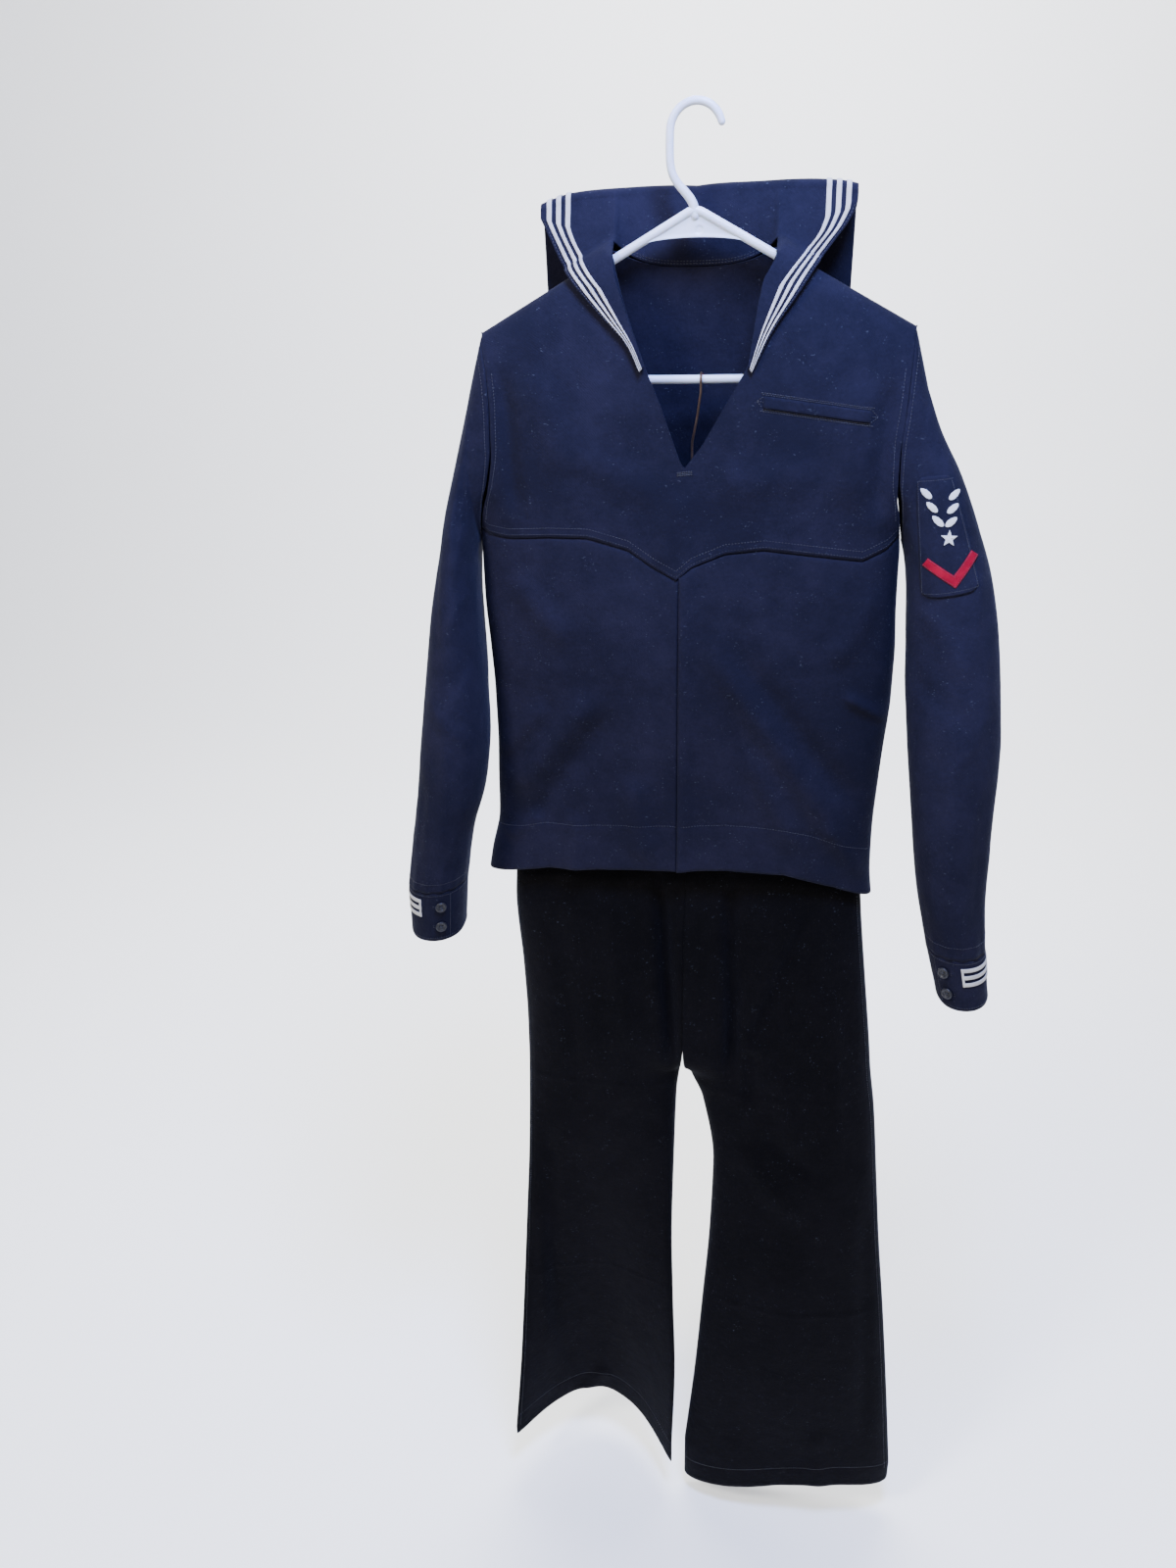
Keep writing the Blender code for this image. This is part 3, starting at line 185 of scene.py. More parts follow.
def woolLook(name):
    # napped wool: cloudy dye, a felted nap over faint twill ribs, and a little pale lint
    w = wool[name]
    look = Look(name + "Wool", w["slot"], {"Sheen Weight": 0.02, "Sheen Roughness": 0.42,
                                           "Specular IOR Level": 0.05, "Sheen Tint": (0.62, 0.66, 1.0, 1.0)})
    cloud, wear, felt = look.noise(7.0), look.noise(46.0, 4.0, 0.6), look.noise(330.0, 3.0, 0.65)
    nap = look.noise(900.0, 2.0, 0.7, (1, 1, 0.55))
    u, v = look.cloth()
    rib = (u * wool["ribs"] + v * wool["ribs"]).wave()
    share = ((cloud - 0.36) * 1.6 + (wear - 0.5) * 0.9 + (felt - 0.5) * 0.8).clipped()
    speck = look.noise(420.0, 0.0, stretch=(1, 1, 1.9)).above(w["lint"])
    fleck = look.noise(60.0, 0.0).above(0.56)
    colour = look.mix(speck * fleck * 0.4, look.mix(share, w["colour"], w["worn"]), wool["lintColour"])
    pitted = look.bump(look.noise(120.0), 0.0006)
    return look.finish(colour, (nap * 0.16 + 0.80).clipped(),
                       look.bump(nap * 0.6 + felt * 0.8 + rib * 0.10, 0.0005, pitted))


def tapeLook():
    # flat woven cotton: ribs across the tape, close threads along it, greyed in patches
    look = Look("collarTape", "white_tape", {"Sheen Weight": 0.1, "Specular IOR Level": 0.25})
    u, v = look.cloth()
    rib, thread = (v * 7800.0).wave(), (u * 9400.0).wave()
    soil, fine = look.noise(55.0, 4.0, 0.6), look.noise(700.0, 2.0)
    share = ((soil - 0.42) * 1.7 + (fine - 0.5) * 0.5 + rib * 0.10).clipped()
    return look.finish(look.mix(share, (0.30, 0.285, 0.26), (0.50, 0.48, 0.44)), (fine * 0.2 + 0.72).clipped(),
                       look.bump(rib * 0.7 + thread * 0.4 + fine * 0.5, 0.00016))


def stitchLook():
    # close satin stitch: thread ridges side by side
    look = Look("whiteStitch", "white_stitch", {"Sheen Weight": 0.25, "Specular IOR Level": 0.35})
    u, v = look.cloth()
    ridge, fine = (v * 8200.0 + u * 2600.0).wave(), look.noise(900.0, 2.0)
    share = (ridge * 0.55 + (fine - 0.35) * 0.8).clipped()
    return look.finish(look.mix(share, (0.34, 0.34, 0.32), (0.66, 0.65, 0.61)), fine * 0.25 + 0.55,
                       look.bump(ridge + fine * 0.4, 0.0003))


def feltLook():
    # red felt: short matted fibres and a slightly darker worn nap
    look = Look("redFelt", "red_felt", {"Sheen Weight": 0.02, "Specular IOR Level": 0.03,
                                        "Sheen Tint": (1.0, 0.45, 0.45, 1.0)})
    fibre, cloud = look.noise(1100.0, 3.0, 0.7, (1, 1, 0.45)), look.noise(90.0)
    share = ((cloud - 0.3) * 1.3 + (fibre - 0.5) * 0.6).clipped()
    return look.finish(look.mix(share, (0.13, 0.002, 0.010), (0.29, 0.004, 0.022)),
                       (fibre * 0.2 + 0.78).clipped(), look.bump(fibre + cloud * 0.5, 0.0004))


def buttonLook():
    # pressed black button: soft gloss, dulled by handling
    look = Look("blackButton", "black_button", {"Specular IOR Level": 0.3, "Coat Weight": 0.05,
                                                "Coat Roughness": 0.3})
    haze, fine = look.noise(380.0, 4.0, 0.65), look.noise(2200.0, 2.0)
    return look.finish(look.mix(haze, (0.003, 0.003, 0.004), (0.009, 0.009, 0.011)),
                       (haze * 0.3 + 0.24).clipped(), look.bump(fine + haze, 0.00004))


def plasticLook():
    # moulded white plastic: faint flow marks, dusty scuffs, slightly milky
    look = Look("whitePlastic", "white_plastic",
                {"Specular IOR Level": 0.5, "Subsurface Weight": 0.12, "Subsurface Scale": 0.004,
                 "Coat Weight": 0.12, "Coat Roughness": 0.3})
    flow, scuff = look.noise(26.0, 4.0, 0.6, (0.5, 1, 1.6)), look.noise(240.0, 3.0, 0.7, (1, 1, 3.5))
    share = ((flow - 0.35) * 1.5 + (scuff - 0.5) * 0.5).clipped()
    return look.finish(look.mix(share, (0.42, 0.45, 0.52), (0.56, 0.59, 0.65)),
                       (scuff * 0.26 + 0.26).clipped(),
                       look.bump(look.noise(1400.0, 2.0) * 0.5 + flow, 0.00012))


def wireLook():
    # bronzed steel wire: brown plating, rubbed brighter, specks of rust
    look = Look("bronzedWire", "bronzed_wire", {"Metallic": 0.85, "Specular IOR Level": 0.5})
    rub, rust = look.noise(160.0, 4.0, 0.6, (1, 1, 0.3)), look.noise(520.0).above(0.63)
    plated = look.mix(rub, (0.05, 0.030, 0.020), (0.16, 0.105, 0.07))
    return look.finish(look.mix(rust * 0.7, plated, (0.14, 0.05, 0.02)),
                       (rub * 0.25 + 0.28 + rust * 0.3).clipped(), look.bump(rub + rust * 0.6, 0.00008))


def clipLook():
    # moulded grey clip: a fine sparked grain and paler rubbed patches
    look = Look("greyClip", "grey_clip", {"Specular IOR Level": 0.42})
    grain, rub = look.noise(1500.0, 2.0), look.noise(70.0, 4.0, 0.65)
    return look.finish(look.mix(((rub - 0.4) * 1.8).clipped(), (0.045, 0.046, 0.05), (0.13, 0.13, 0.14)),
                       (rub * 0.25 + 0.42).clipped(), look.bump(grain, 0.00012))


def threadLook():
    # sewing thread: two twisted plies
    look = Look("navyThread", "navy_wool", {"Sheen Weight": 0.2, "Specular IOR Level": 0.3})
    u, v = look.cloth()
    ply, fine = (u * 6.0 + v * 9.0).wave(), look.noise(1500.0, 2.0)
    return look.finish(look.mix((ply * 0.6 + fine * 0.4).clipped(), (0.0030, 0.0032, 0.0072),
                                (0.0080, 0.0082, 0.0165)),
                       fine * 0.2 + 0.6, look.bump(ply + fine * 0.3, 0.0001))


placeCamera()
placeLamps()
looks = {"jumper": woolLook("jumper"), "trousers": woolLook("trousers"), "tape": tapeLook(),
         "stitch": stitchLook(), "felt": feltLook(), "button": buttonLook(), "plastic": plasticLook(),
         "wire": wireLook(), "clip": clipLook(), "thread": threadLook()}
print("camera, lamps and", len(looks), "materials")


# grids, walls and cloth
fineness = 1.0
ahead = np.array([0, -1.0, 0])                # out of the garment's front


def steps(count):
    return max(4, int(count * fineness))


def run(count, power=1.0):
    # shares from 0 to 1 down a column
    return (np.linspace(0, 1, count) ** power)[:, None]


def ease(t):
    # three squares less two cubes, held between 0 and 1
    t = np.clip(t, 0.0, 1.0)
    return t * t * (3 - 2 * t)


def hill(t):
    return np.exp(-t * t)


def unit(vectors):
    return vectors / np.maximum(np.linalg.norm(vectors, axis=-1), 1e-12)[..., None]


def lengths(line):
    # how far along a line each of its points is
    return np.r_[0, np.cumsum(np.linalg.norm(np.diff(line, axis=0), axis=1))]


def easedSlopes(table, at):
    # slope at each row is the harmonic mean of the steps beside it, or none where they turn
    step = np.diff(table, axis=0) / np.diff(at)[:, None]
    slopes = np.zeros_like(table)
    slopes[0], slopes[-1] = step[0], step[-1]
    same = step[:-1] * step[1:] > 0
    slopes[1:-1] = np.where(same, 2 * step[:-1] * step[1:] / np.where(same, step[:-1] + step[1:], 1), 0)
    return slopes


def cubicRows(table, at, t):
    # cubic curve through a table's rows, with the eased slopes
    t = np.clip(t, at[0], at[-1])
    row = np.clip(np.searchsorted(at, t, side="right") - 1, 0, len(at) - 2)
    span = (at[row + 1] - at[row])[..., None]
    u = (t - at[row])[..., None] / span
    slopes = easedSlopes(table, at)
    made = ((2 * u ** 3 - 3 * u ** 2 + 1) * table[row] + (u ** 3 - 2 * u ** 2 + u) * span * slopes[row]
            + (3 * u ** 2 - 2 * u ** 3) * table[row + 1] + (u ** 3 - u ** 2) * span * slopes[row + 1])
    return np.moveaxis(made, -1, 0)


def smoothTable(rows, z):
    # every column of a table at the given heights
    table = np.array(rows, float) * mm
    return cubicRows(table, -table[:, 0], -np.asarray(z, float))[1:]


def lineAt(points, x):
    line = np.array(sorted(points), float) * mm
    return np.interp(x, line[:, 0], line[:, 1])


def alongLine(points, share):
    # point at a share of a line's length, on a curve that eases through its corners
    line = np.array(points, float) * mm
    far = lengths(line)
    return np.moveaxis(cubicRows(line, far, np.asarray(share, float) * far[-1]), 0, -1)


def softNoise(u, v, seed):
    # random heights on a unit grid, eased between their four neighbours
    table = np.random.default_rng(seed).uniform(-1, 1, (61, 61))
    i, j = np.floor(u).astype(int), np.floor(v).astype(int)
    a, b = ease(u - i), ease(v - j)
    pick = lambda p, q: table[p % 61, q % 61]
    return ((pick(i, j) * (1 - a) + pick(i + 1, j) * a) * (1 - b)
            + (pick(i, j + 1) * (1 - a) + pick(i + 1, j + 1) * a) * b)


def creases(p, q, folds):
    # each fold: a ridge or valley along a line, a bell across it, fading out at both ends
    total = np.zeros(np.broadcast(p, q).shape)
    for fold in folds:
        p0, q0, p1, q1, deep, wide = np.array(fold) * mm
        long = math.hypot(p1 - p0, q1 - q0)
        t = ((p - p0) * (p1 - p0) + (q - q0) * (q1 - q0)) / long ** 2
        off = ((p - p0) * (q1 - q0) - (q - q0) * (p1 - p0)) / long
        total = total + deep * hill(off / wide) * ease(t * 4) * ease((1 - t) * 4)
    return total


def gridNormals(points, closed=False):
    # cross product of the steps along and down the grid
    across = (np.roll(points, -1, 1) - np.roll(points, 1, 1)) if closed else np.gradient(points, axis=1)
    return unit(np.cross(across, np.gradient(points, axis=0)))


def gridQuads(rows, columns, closed=False):
    i = np.arange(rows - 1)[:, None]
    j = np.arange(columns if closed else columns - 1)[None, :]
    k = (j + 1) % columns
    corners = [i * columns + j, i * columns + k, (i + 1) * columns + k, (i + 1) * columns + j]
    return np.stack([np.broadcast_to(c, (rows - 1, j.shape[1])) for c in corners], axis=-1).reshape(-1, 4)


def cornerUv(points, faces, columns, closed):
    # metres along and down the cloth, so a weave keeps its size on it
    rows = len(points) // columns
    grid = points.reshape(rows, columns, 3)
    wide = np.linalg.norm(np.diff(grid, axis=1), axis=2).mean(axis=0)
    high = np.linalg.norm(np.diff(grid, axis=0), axis=2).mean(axis=1)
    u, v = np.r_[0, np.cumsum(wide)], np.r_[0, np.cumsum(high)]
    where = faces % (rows * columns)
    col, row = where % columns, where // columns
    across = u[col]
    if closed:
        turn = np.linalg.norm(grid[:, 0] - grid[:, -1], axis=1).mean()
        beside = (np.roll(col, 1, 1) == columns - 1) | (np.roll(col, -1, 1) == columns - 1)
        across = np.where((col == 0) & beside, u[-1] + turn, across)
    return np.stack([across, v[row]], axis=-1)


def makeMesh(name, points, faces, uv, look, sharp=None):
    # puts whole arrays of corners and four-sided faces into a new mesh and object
    mesh = bpy.data.meshes.new(name)
    flat = np.asarray(faces, np.int32).ravel()
    mesh.vertices.add(len(points))
    mesh.vertices.foreach_set("co", np.asarray(points, np.float32).ravel())
    mesh.loops.add(len(flat))
    mesh.loops.foreach_set("vertex_index", flat)
    mesh.polygons.add(len(faces))
    mesh.polygons.foreach_set("loop_start", np.arange(0, len(flat), 4, dtype=np.int32))
    mesh.polygons.foreach_set("loop_total", np.full(len(faces), 4, np.int32))
    mesh.uv_layers.new(name="cloth").data.foreach_set("uv", np.asarray(uv, np.float32).ravel())
    mesh.update(calc_edges=True)
    mesh.validate()
    mesh.shade_smooth()
    if sharp:
        mesh.set_sharp_from_angle(angle=math.radians(sharp))
    mesh.materials.append(looks[look].material)
    made = addObject(name, mesh)
    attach(made, "root")
    return made


def rim(a, b, count):
    # a row of faces between two lines of corners and the same lines on the other side
    return np.stack([a, b, b + count, a + count], 1)


def between(outer, inner, closed=False):
    # corners and faces of the wall between two like grids
    rows, columns = outer.shape[:2]
    count, base = rows * columns, (rows - 1) * columns
    quads = gridQuads(rows, columns, closed)
    top = np.arange(columns - (0 if closed else 1))
    after = (top + 1) % columns
    rims = [rim(after, top, count), rim(base + top, base + after, count)]
    if not closed:
        side = np.arange(rows - 1) * columns
        last = side + columns - 1
        rims += [rim(side, side + columns, count), rim(last + columns, last, count)]
    faces = np.concatenate([quads, quads[:, ::-1] + count] + rims)
    return np.concatenate([outer.reshape(-1, 3), inner.reshape(-1, 3)]), faces[:, ::-1]


def wall(grid, thick, facing, closed=False, lift=0.0, normals=None):
    # the side that is seen, the same side moved in by the thickness, and the rims
    if normals is None:
        normals = gridNormals(grid, closed)
    if (normals * facing).sum() < 0:
        grid, normals = grid[:, ::-1], -normals[:, ::-1]
    points, faces = between(grid + normals * lift, grid + normals * (lift - thick), closed)
    return points, faces, cornerUv(points[:len(points) // 2], faces, grid.shape[1], closed).reshape(-1, 2)


def shell(name, node, grid, thick, look, facing, **more):
    piece = makeMesh(name, *wall(grid, thick, facing, **more), look)
    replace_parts(piece, *node.split())
    return piece


def joined(parts):
    # several closed walls as one: corners, faces and cloth coordinates end to end
    starts = np.cumsum([0] + [len(part[0]) for part in parts])
    return (np.concatenate([part[0] for part in parts]),
            np.concatenate([part[1] + start for part, start in zip(parts, starts)]),
            np.concatenate([part[2] for part in parts]))


def outward(points, quads, middle):
    # turns every face over if they look in at the middle
    a, b, c, d = (points[quads[:, k]] for k in range(4))
    return quads[:, ::-1] if (np.cross(c - a, d - b) * (a - middle)).sum() < 0 else quads


def threads(name, runs, look="thread", pitch=3.1 * mm, share=0.66, radius=0.28 * mm, high=0.16 * mm):
    # a run of stitches on each path: short bars with pointed ends, half sunk in the cloth
    centres, along, up = [], [], []
    for path, normal in runs:
        far, normal = lengths(path), np.broadcast_to(normal, path.shape)
        at = np.arange(pitch / 2, far[-1], pitch)
        pick = lambda where, table: np.stack([np.interp(where, far, table[:, k]) for k in range(3)], 1)
        centres.append(pick(at, path))
        along.append(pick(at + pitch * 0.2, path) - centres[-1])
        up.append(pick(at, normal))
    centres, along, up = (np.concatenate(a) for a in (centres, along, up))
    keep = np.linalg.norm(along, axis=1) > 1e-7
    centres, along, up = centres[keep], unit(along[keep]), up[keep]
    side = unit(np.cross(along, up))
    up = np.cross(side, along)
    long = pitch * share / 2
    rings = [(-1.0, 0.15, -0.5), (-0.55, 0.95, 0.3), (0.55, 0.95, 0.3), (1.0, 0.15, -0.5)]
    shape = np.array([(a * long, math.cos(t) * radius * r, math.sin(t) * radius * r + high * h)
                      for a, r, h in rings for t in np.arange(6) * math.pi / 3])
    points = (centres[:, None] + shape[None, :, :1] * along[:, None] + shape[None, :, 1:2] * side[:, None]
              + shape[None, :, 2:] * up[:, None])
    ends = np.array([[0, 1, 2, 5], [2, 3, 4, 5], [18, 23, 20, 19], [20, 23, 22, 21]])
    one = np.concatenate([gridQuads(4, 6, closed=True)[:, ::-1], ends])
    faces = (one[None] + (np.arange(len(centres)) * 24)[:, None, None]).reshape(-1, 4)
    uv = np.tile(shape[one].reshape(-1, 3)[:, :2] / mm, (len(centres), 1))
    return makeMesh(name, points.reshape(-1, 3), faces, uv, look)


# the jumper's body
cloth = {"thick": 1.8 * mm, "seam": 0.3 * mm}
hangerFrame = {"armTop": -84 * mm, "slope": 0.544, "bar": -235 * mm, "bend": 25.4 * mm, "tube": 4.2 * mm,
               "stem": 3.8 * mm, "hook": 20 * mm, "webHalf": 54 * mm, "sides": 22}
body = {
    "rows": [  # z, left, right, front, back
        (-100, -262, 262, 38, 32), (-200, -262, 262, 42, 35), (-240, -262, 262, 43, 36),
        (-300, -250, 250, 45, 38), (-335, -240, 237, 47, 40), (-362, -228, 222, 48, 41),
        (-390, -222, 212, 49, 42), (-450, -222, 213, 51, 42), (-510, -219, 216, 52, 42),
        (-560, -217, 216, 51, 41), (-610, -217, 213, 50, 41), (-661, -219, 210, 49, 41),
        (-714, -221, 208, 49, 41), (-763, -232, 209, 50, 42), (-800, -239, 213, 51, 43)],
    "armhole": [  # z, left, right
        (-200, 209, 209), (-229, 203, 207), (-261, 201, 205), (-294, 201, 202), (-330, 207, 203),
        (-352, 214, 207), (-390, 222, 212)],
    "armpit": -390 * mm, "shoulderAt": np.array(-200 * mm),
    "veeLeft": [(-77, -124), (-62, -171), (-44, -219), (-29, -254), (-9, -308), (-5, -314)],
    "veeRight": [(77, -125), (66, -145), (54, -220), (12, -292), (-5, -314)],
    "yoke": [(-227, -374), (-208, -384), (-186, -386), (-143, -383), (-102, -383), (-61, -394),
             (-37, -410), (-12, -424), (3, -411), (37, -397), (76, -393), (124, -399),
             (173, -406), (197, -396), (222, -372)],
    "hem": [(-239, -788), (-158, -768), (-65, -762), (-9, -761), (46, -757), (111, -761),
            (167, -778), (213, -799)],
    "yokeStitches": (3.2 * mm, 9.6 * mm), "hemStitch": 57 * mm, "foldHeight": 2.8,
    "roll": 160 * mm, "ridge": 8.9 * mm, "neckHalf": 77 * mm, "backNeck": -134 * mm, "lap": -9 * mm,
    "frontFolds": [  # x, z to x, z, height, half width
        (-92, -540, -205, -690, 2.6, 15), (-75, -560, -190, -735, -2.0, 13), (12, -470, 190, -745, 2.6, 17),
        (30, -480, 200, -700, -1.8, 15), (160, -545, 222, -585, 2.0, 6), (-150, -560, -214, -640, 1.5, 10),
        (60, -600, 130, -740, 1.6, 14), (-60, -640, -45, -760, 1.6, 16), (150, -690, 205, -775, 1.7, 12),
        (-120, -690, -128, -785, 1.4, 14), (-190, -420, -120, -500, 1.4, 16), (196, -430, 150, -520, 1.3, 14),
        (-186, -215, -176, -372, -2.0, 10), (188, -225, 182, -380, -1.9, 10), (-160, -215, -120, -330, 1.4, 20),
        (160, -225, 150, -360, 1.2, 18), (-120, -300, -20, -345, 1.0, 16), (20, -330, 130, -320, 1.0, 18),
        (-8, -330, -30, -420, 1.1, 12), (-215, -740, -160, -700, 1.3, 9)],
    "backFolds": [
        (-150, -240, -40, -420, 2.4, 22), (150, -240, 50, -430, 2.4, 22), (-30, -200, -20, -560, 1.8, 26),
        (40, -210, 45, -600, -1.8, 22), (-200, -430, -90, -640, 2.4, 18), (200, -430, 110, -660, 2.2, 18),
        (-120, -560, -140, -770, 2.0, 20), (110, -580, 135, -770, -2.0, 18), (0, -560, 10, -750, 1.8, 20)],
    "cuts": {"yokeCloth": (0.46, 0.34, 0.116), "leftFrontCloth": (0.26, 0.42, 0.095),
             "rightFrontCloth": (0.26, 0.42, 0.093), "backCloth": (0.5, 0.72, 0.31)}}


def shoulderZ(x):
    # the seam lies just over the hanger's arms
    return hangerFrame["armTop"] - hangerFrame["slope"] * np.abs(x) + body["ridge"]


def depthAcross(x, left, right):
    # a flattened circle from side to side
    half = np.where(x > 0, right, -left)
    return np.maximum(0.0, 1 - np.minimum(1.0, np.abs(x) / half) ** 2.5) ** 0.4


def torsoY(x, z, face, folded=True):
    # depth times a flattened circle across and a rolled quarter circle down from the shoulder,
    # the soft pleat at the middle of the front, then the folds
    left, right, front, back = smoothTable(body["rows"], z)
    across = depthAcross(x, left, right)
    drop = np.clip((shoulderZ(x) - z) / body["roll"], 0.0, 1.0)
    y = (front if face < 0 else back) * across * np.sqrt(np.maximum(0.0, 1 - (1 - drop) ** 2))
    if face < 0:
        y = y + 3 * mm * hill((x + 3 * mm) / (9 * mm)) * np.exp(-np.maximum(z + 0.44, 0.0) / 0.06)
    if folded:
        flat = ease(across * 1.6 - 0.25) * ease(drop * 3)
        wavy = 1.5 * mm * softNoise(x * 9 + 3, z * 8, 4 + face)
        wavy = wavy + 0.55 * mm * softNoise(x * 33, z * 27, 9 + face)
        wavy = wavy + 0.22 * mm * softNoise(x * 90, z * 80, 15 + face)
        folds = creases(x, z, body["frontFolds" if face < 0 else "backFolds"])
        y = y + flat * (wavy + body["foldHeight"] * folds)
    return face * y


def armholeX(z, side):
    left, right = smoothTable(body["armhole"], z)
    return -left if side < 0 else right


def torsoSide(z, side):
    # the armhole seam down to the armpit, the side seam below it
    left, right = smoothTable(body["rows"], z)[:2]
    return np.where(z > body["armpit"], armholeX(z, side), left if side < 0 else right)


def neckZ(x):
    vee = np.where(x < -5 * mm, lineAt(body["veeLeft"], x), lineAt(body["veeRight"], x))
    return np.where(np.abs(x) >= body["neckHalf"], shoulderZ(x), vee)


def backNeck(x):
    # level in the middle, rising by a cube to the neck points
    share = np.minimum(np.abs(x) / body["neckHalf"], 1.0) ** 3
    rise = share * (shoulderZ(np.array(body["neckHalf"])) - body["backNeck"])
    return np.where(np.abs(x) >= body["neckHalf"], shoulderZ(x), body["backNeck"] + rise)


def yokeZ(x): return lineAt(body["yoke"], x)
def hemZ(x): return lineAt(body["hem"], x)


def panelGrid(face, top, bottom, rows, columns, first=None, last=None, shoulder=False):
    # columns run down from the top line to the bottom line; the outer ones follow the seams,
    # and the rows crowd where the cloth rolls over the shoulder
    share = run(rows, 1.7 if shoulder else 1.0)
    edges = []
    for side, fixed in ((-1, first), (1, last)):
        high = shoulderZ(armholeX(body["shoulderAt"], side)) if shoulder else top(np.array(side * 0.222))
        low = bottom(np.array(side * 0.23))
        seam = torsoSide(high + (low - high) * share, side) - side * cloth["seam"]
        edges.append(seam if fixed is None else np.full((rows, 1), fixed))
    left, right = edges
    t = run(columns).T
    if first is None and last is None:
        t = (1 - np.cos(math.pi * t)) / 2 * 0.6 + t * 0.4
    elif first is None:
        t = 1 - np.cos(math.pi / 2 * t) * 0.7 - (1 - t) * 0.3
    else:
        t = np.sin(math.pi / 2 * t) * 0.7 + t * 0.3
    level = left[0, 0] + (right[0, 0] - left[0, 0]) * t
    x = level + (left - left[0, 0]) * (1 - t) ** 3 + (right - right[0, 0]) * t ** 3
    high, low = top(level), bottom(np.clip(x, -0.239, 0.222))
    z = high + (low - high) * share
    return np.stack([x, torsoY(x, z, face), z], axis=2)


def seamWork(grid, face, top=None, bottom=None, shoulder=False, swell=0.0):
    # draws the cloth in along its seams and stitches: a narrow bell below the surface for each
    x, z = grid[..., 0], grid[..., 2]
    move = np.zeros_like(x)
    if bottom is not None:
        gap = z - bottom(x)
        move += swell * hill(gap / (7 * mm)) - (0.9 * mm - swell) * hill(gap / (2.2 * mm))
        for stitch in body["yokeStitches"]:
            move -= 0.35 * mm * hill((gap - stitch) / (0.9 * mm))
    if top is not None:
        move -= 1.2 * mm * hill((top(x) - z) / (2.6 * mm))
    for side in (-1, 1):
        gap = (torsoSide(z, side) - x) * side
        move -= 0.5 * mm * hill(gap / (3 * mm)) * ease((np.abs(grid[..., 1]) - 2 * mm) / (6 * mm))
    if shoulder:
        move *= ease((shoulderZ(x) - z) / (12 * mm))
    grid[..., 1] += face * move
    return grid


def seamPath(x, z, face, lift):
    # points and outward directions of a stitch line on the body
    y = torsoY(x, z, face) + face * (lift - 0.15 * mm)
    slopeX = torsoY(x + 1 * mm, z, face) - torsoY(x - 1 * mm, z, face)
    slopeZ = torsoY(x, z + 1 * mm, face) - torsoY(x, z - 1 * mm, face)
    return np.stack([x, y, z], 1), unit(np.stack([-face * slopeX, np.full_like(x, face * 2 * mm),
                                                  -face * slopeZ], 1))


def makeBody():
    thick, half = cloth["thick"], cloth["seam"] / 2
    panels = {}
    yoke = panelGrid(-1, neckZ, yokeZ, steps(125), steps(190), shoulder=True)
    yoke[..., 1] -= half
    yoke = seamWork(yoke, -1, bottom=yokeZ, shoulder=True, swell=0.5 * mm)
    panels["yokeCloth"] = ("jumper_front_yoke", yoke)
    fronts = (("left", None, body["lap"] - half, -0.7), ("right", body["lap"] + half, None, 1.1))
    for name, first, last, lap in fronts:
        grid = panelGrid(-1, lambda x: yokeZ(x) - cloth["seam"], hemZ, steps(135), steps(95), first, last)
        up = grid[..., 2] - hemZ(grid[..., 0]) - body["hemStitch"]
        grid[..., 1] -= half
        lapped = lap * mm * hill((grid[..., 0] - body["lap"]) / (5 * mm))
        turned = 0.35 * mm * ease(-up / (2 * mm)) - 0.45 * mm * hill(up / (1.1 * mm))
        edge = -0.7 * mm * hill((up + body["hemStitch"]) / (1.6 * mm))
        grid[..., 1] -= (lapped + turned + edge) * ease((np.abs(grid[..., 1]) - 3 * mm) / (8 * mm))
        panels[name + "FrontCloth"] = ("jumper_front_" + name, seamWork(grid, -1, top=yokeZ))
    back = panelGrid(1, backNeck, hemZ, steps(190), steps(130), shoulder=True)
    up = back[..., 2] - hemZ(back[..., 0]) - body["hemStitch"]
    back[..., 1] += half
    back[..., 1] -= 0.45 * mm * hill(up / (1.1 * mm)) * ease(back[..., 1] / (8 * mm))
    panels["backCloth"] = ("jumper_back", seamWork(back, 1, shoulder=True))
    made = [shell(name, node, grid, thick, "jumper", -ahead if name == "backCloth" else ahead)
            for name, (node, grid) in panels.items()]
    runs = []
    for face, line, off, low, high in ((-1, yokeZ, body["yokeStitches"][0], -0.214, 0.205),
                                       (-1, yokeZ, body["yokeStitches"][1], -0.214, 0.205),
                                       (-1, hemZ, body["hemStitch"], -0.218, 0.203),
                                       (1, hemZ, body["hemStitch"], -0.218, 0.203)):
        x = np.linspace(low, high, 400)
        runs.append(seamPath(x, line(x) + off, face, 0.25 * mm))
    for side in (-1, 1):
        z = np.linspace(-0.225, -0.37, 120)
        runs.append(seamPath(armholeX(z, side) - side * 6 * mm, z, -1, 0.3 * mm))
    stitched = threads("bodyStitches", runs)
    tackX = np.linspace(-12 * mm, 3 * mm, 12)
    tack = threads("neckTack", [(seamPath(tackX, np.linspace(z, z + 1.4 * mm, 12), -1, 0.5 * mm)[0], ahead)
                                for z in (-317.5 * mm, -319 * mm, -320.5 * mm)],
                   pitch=2.2 * mm, share=0.95, radius=0.4 * mm)
    print("body:", len(made), "panels and their stitches")


makeBody()


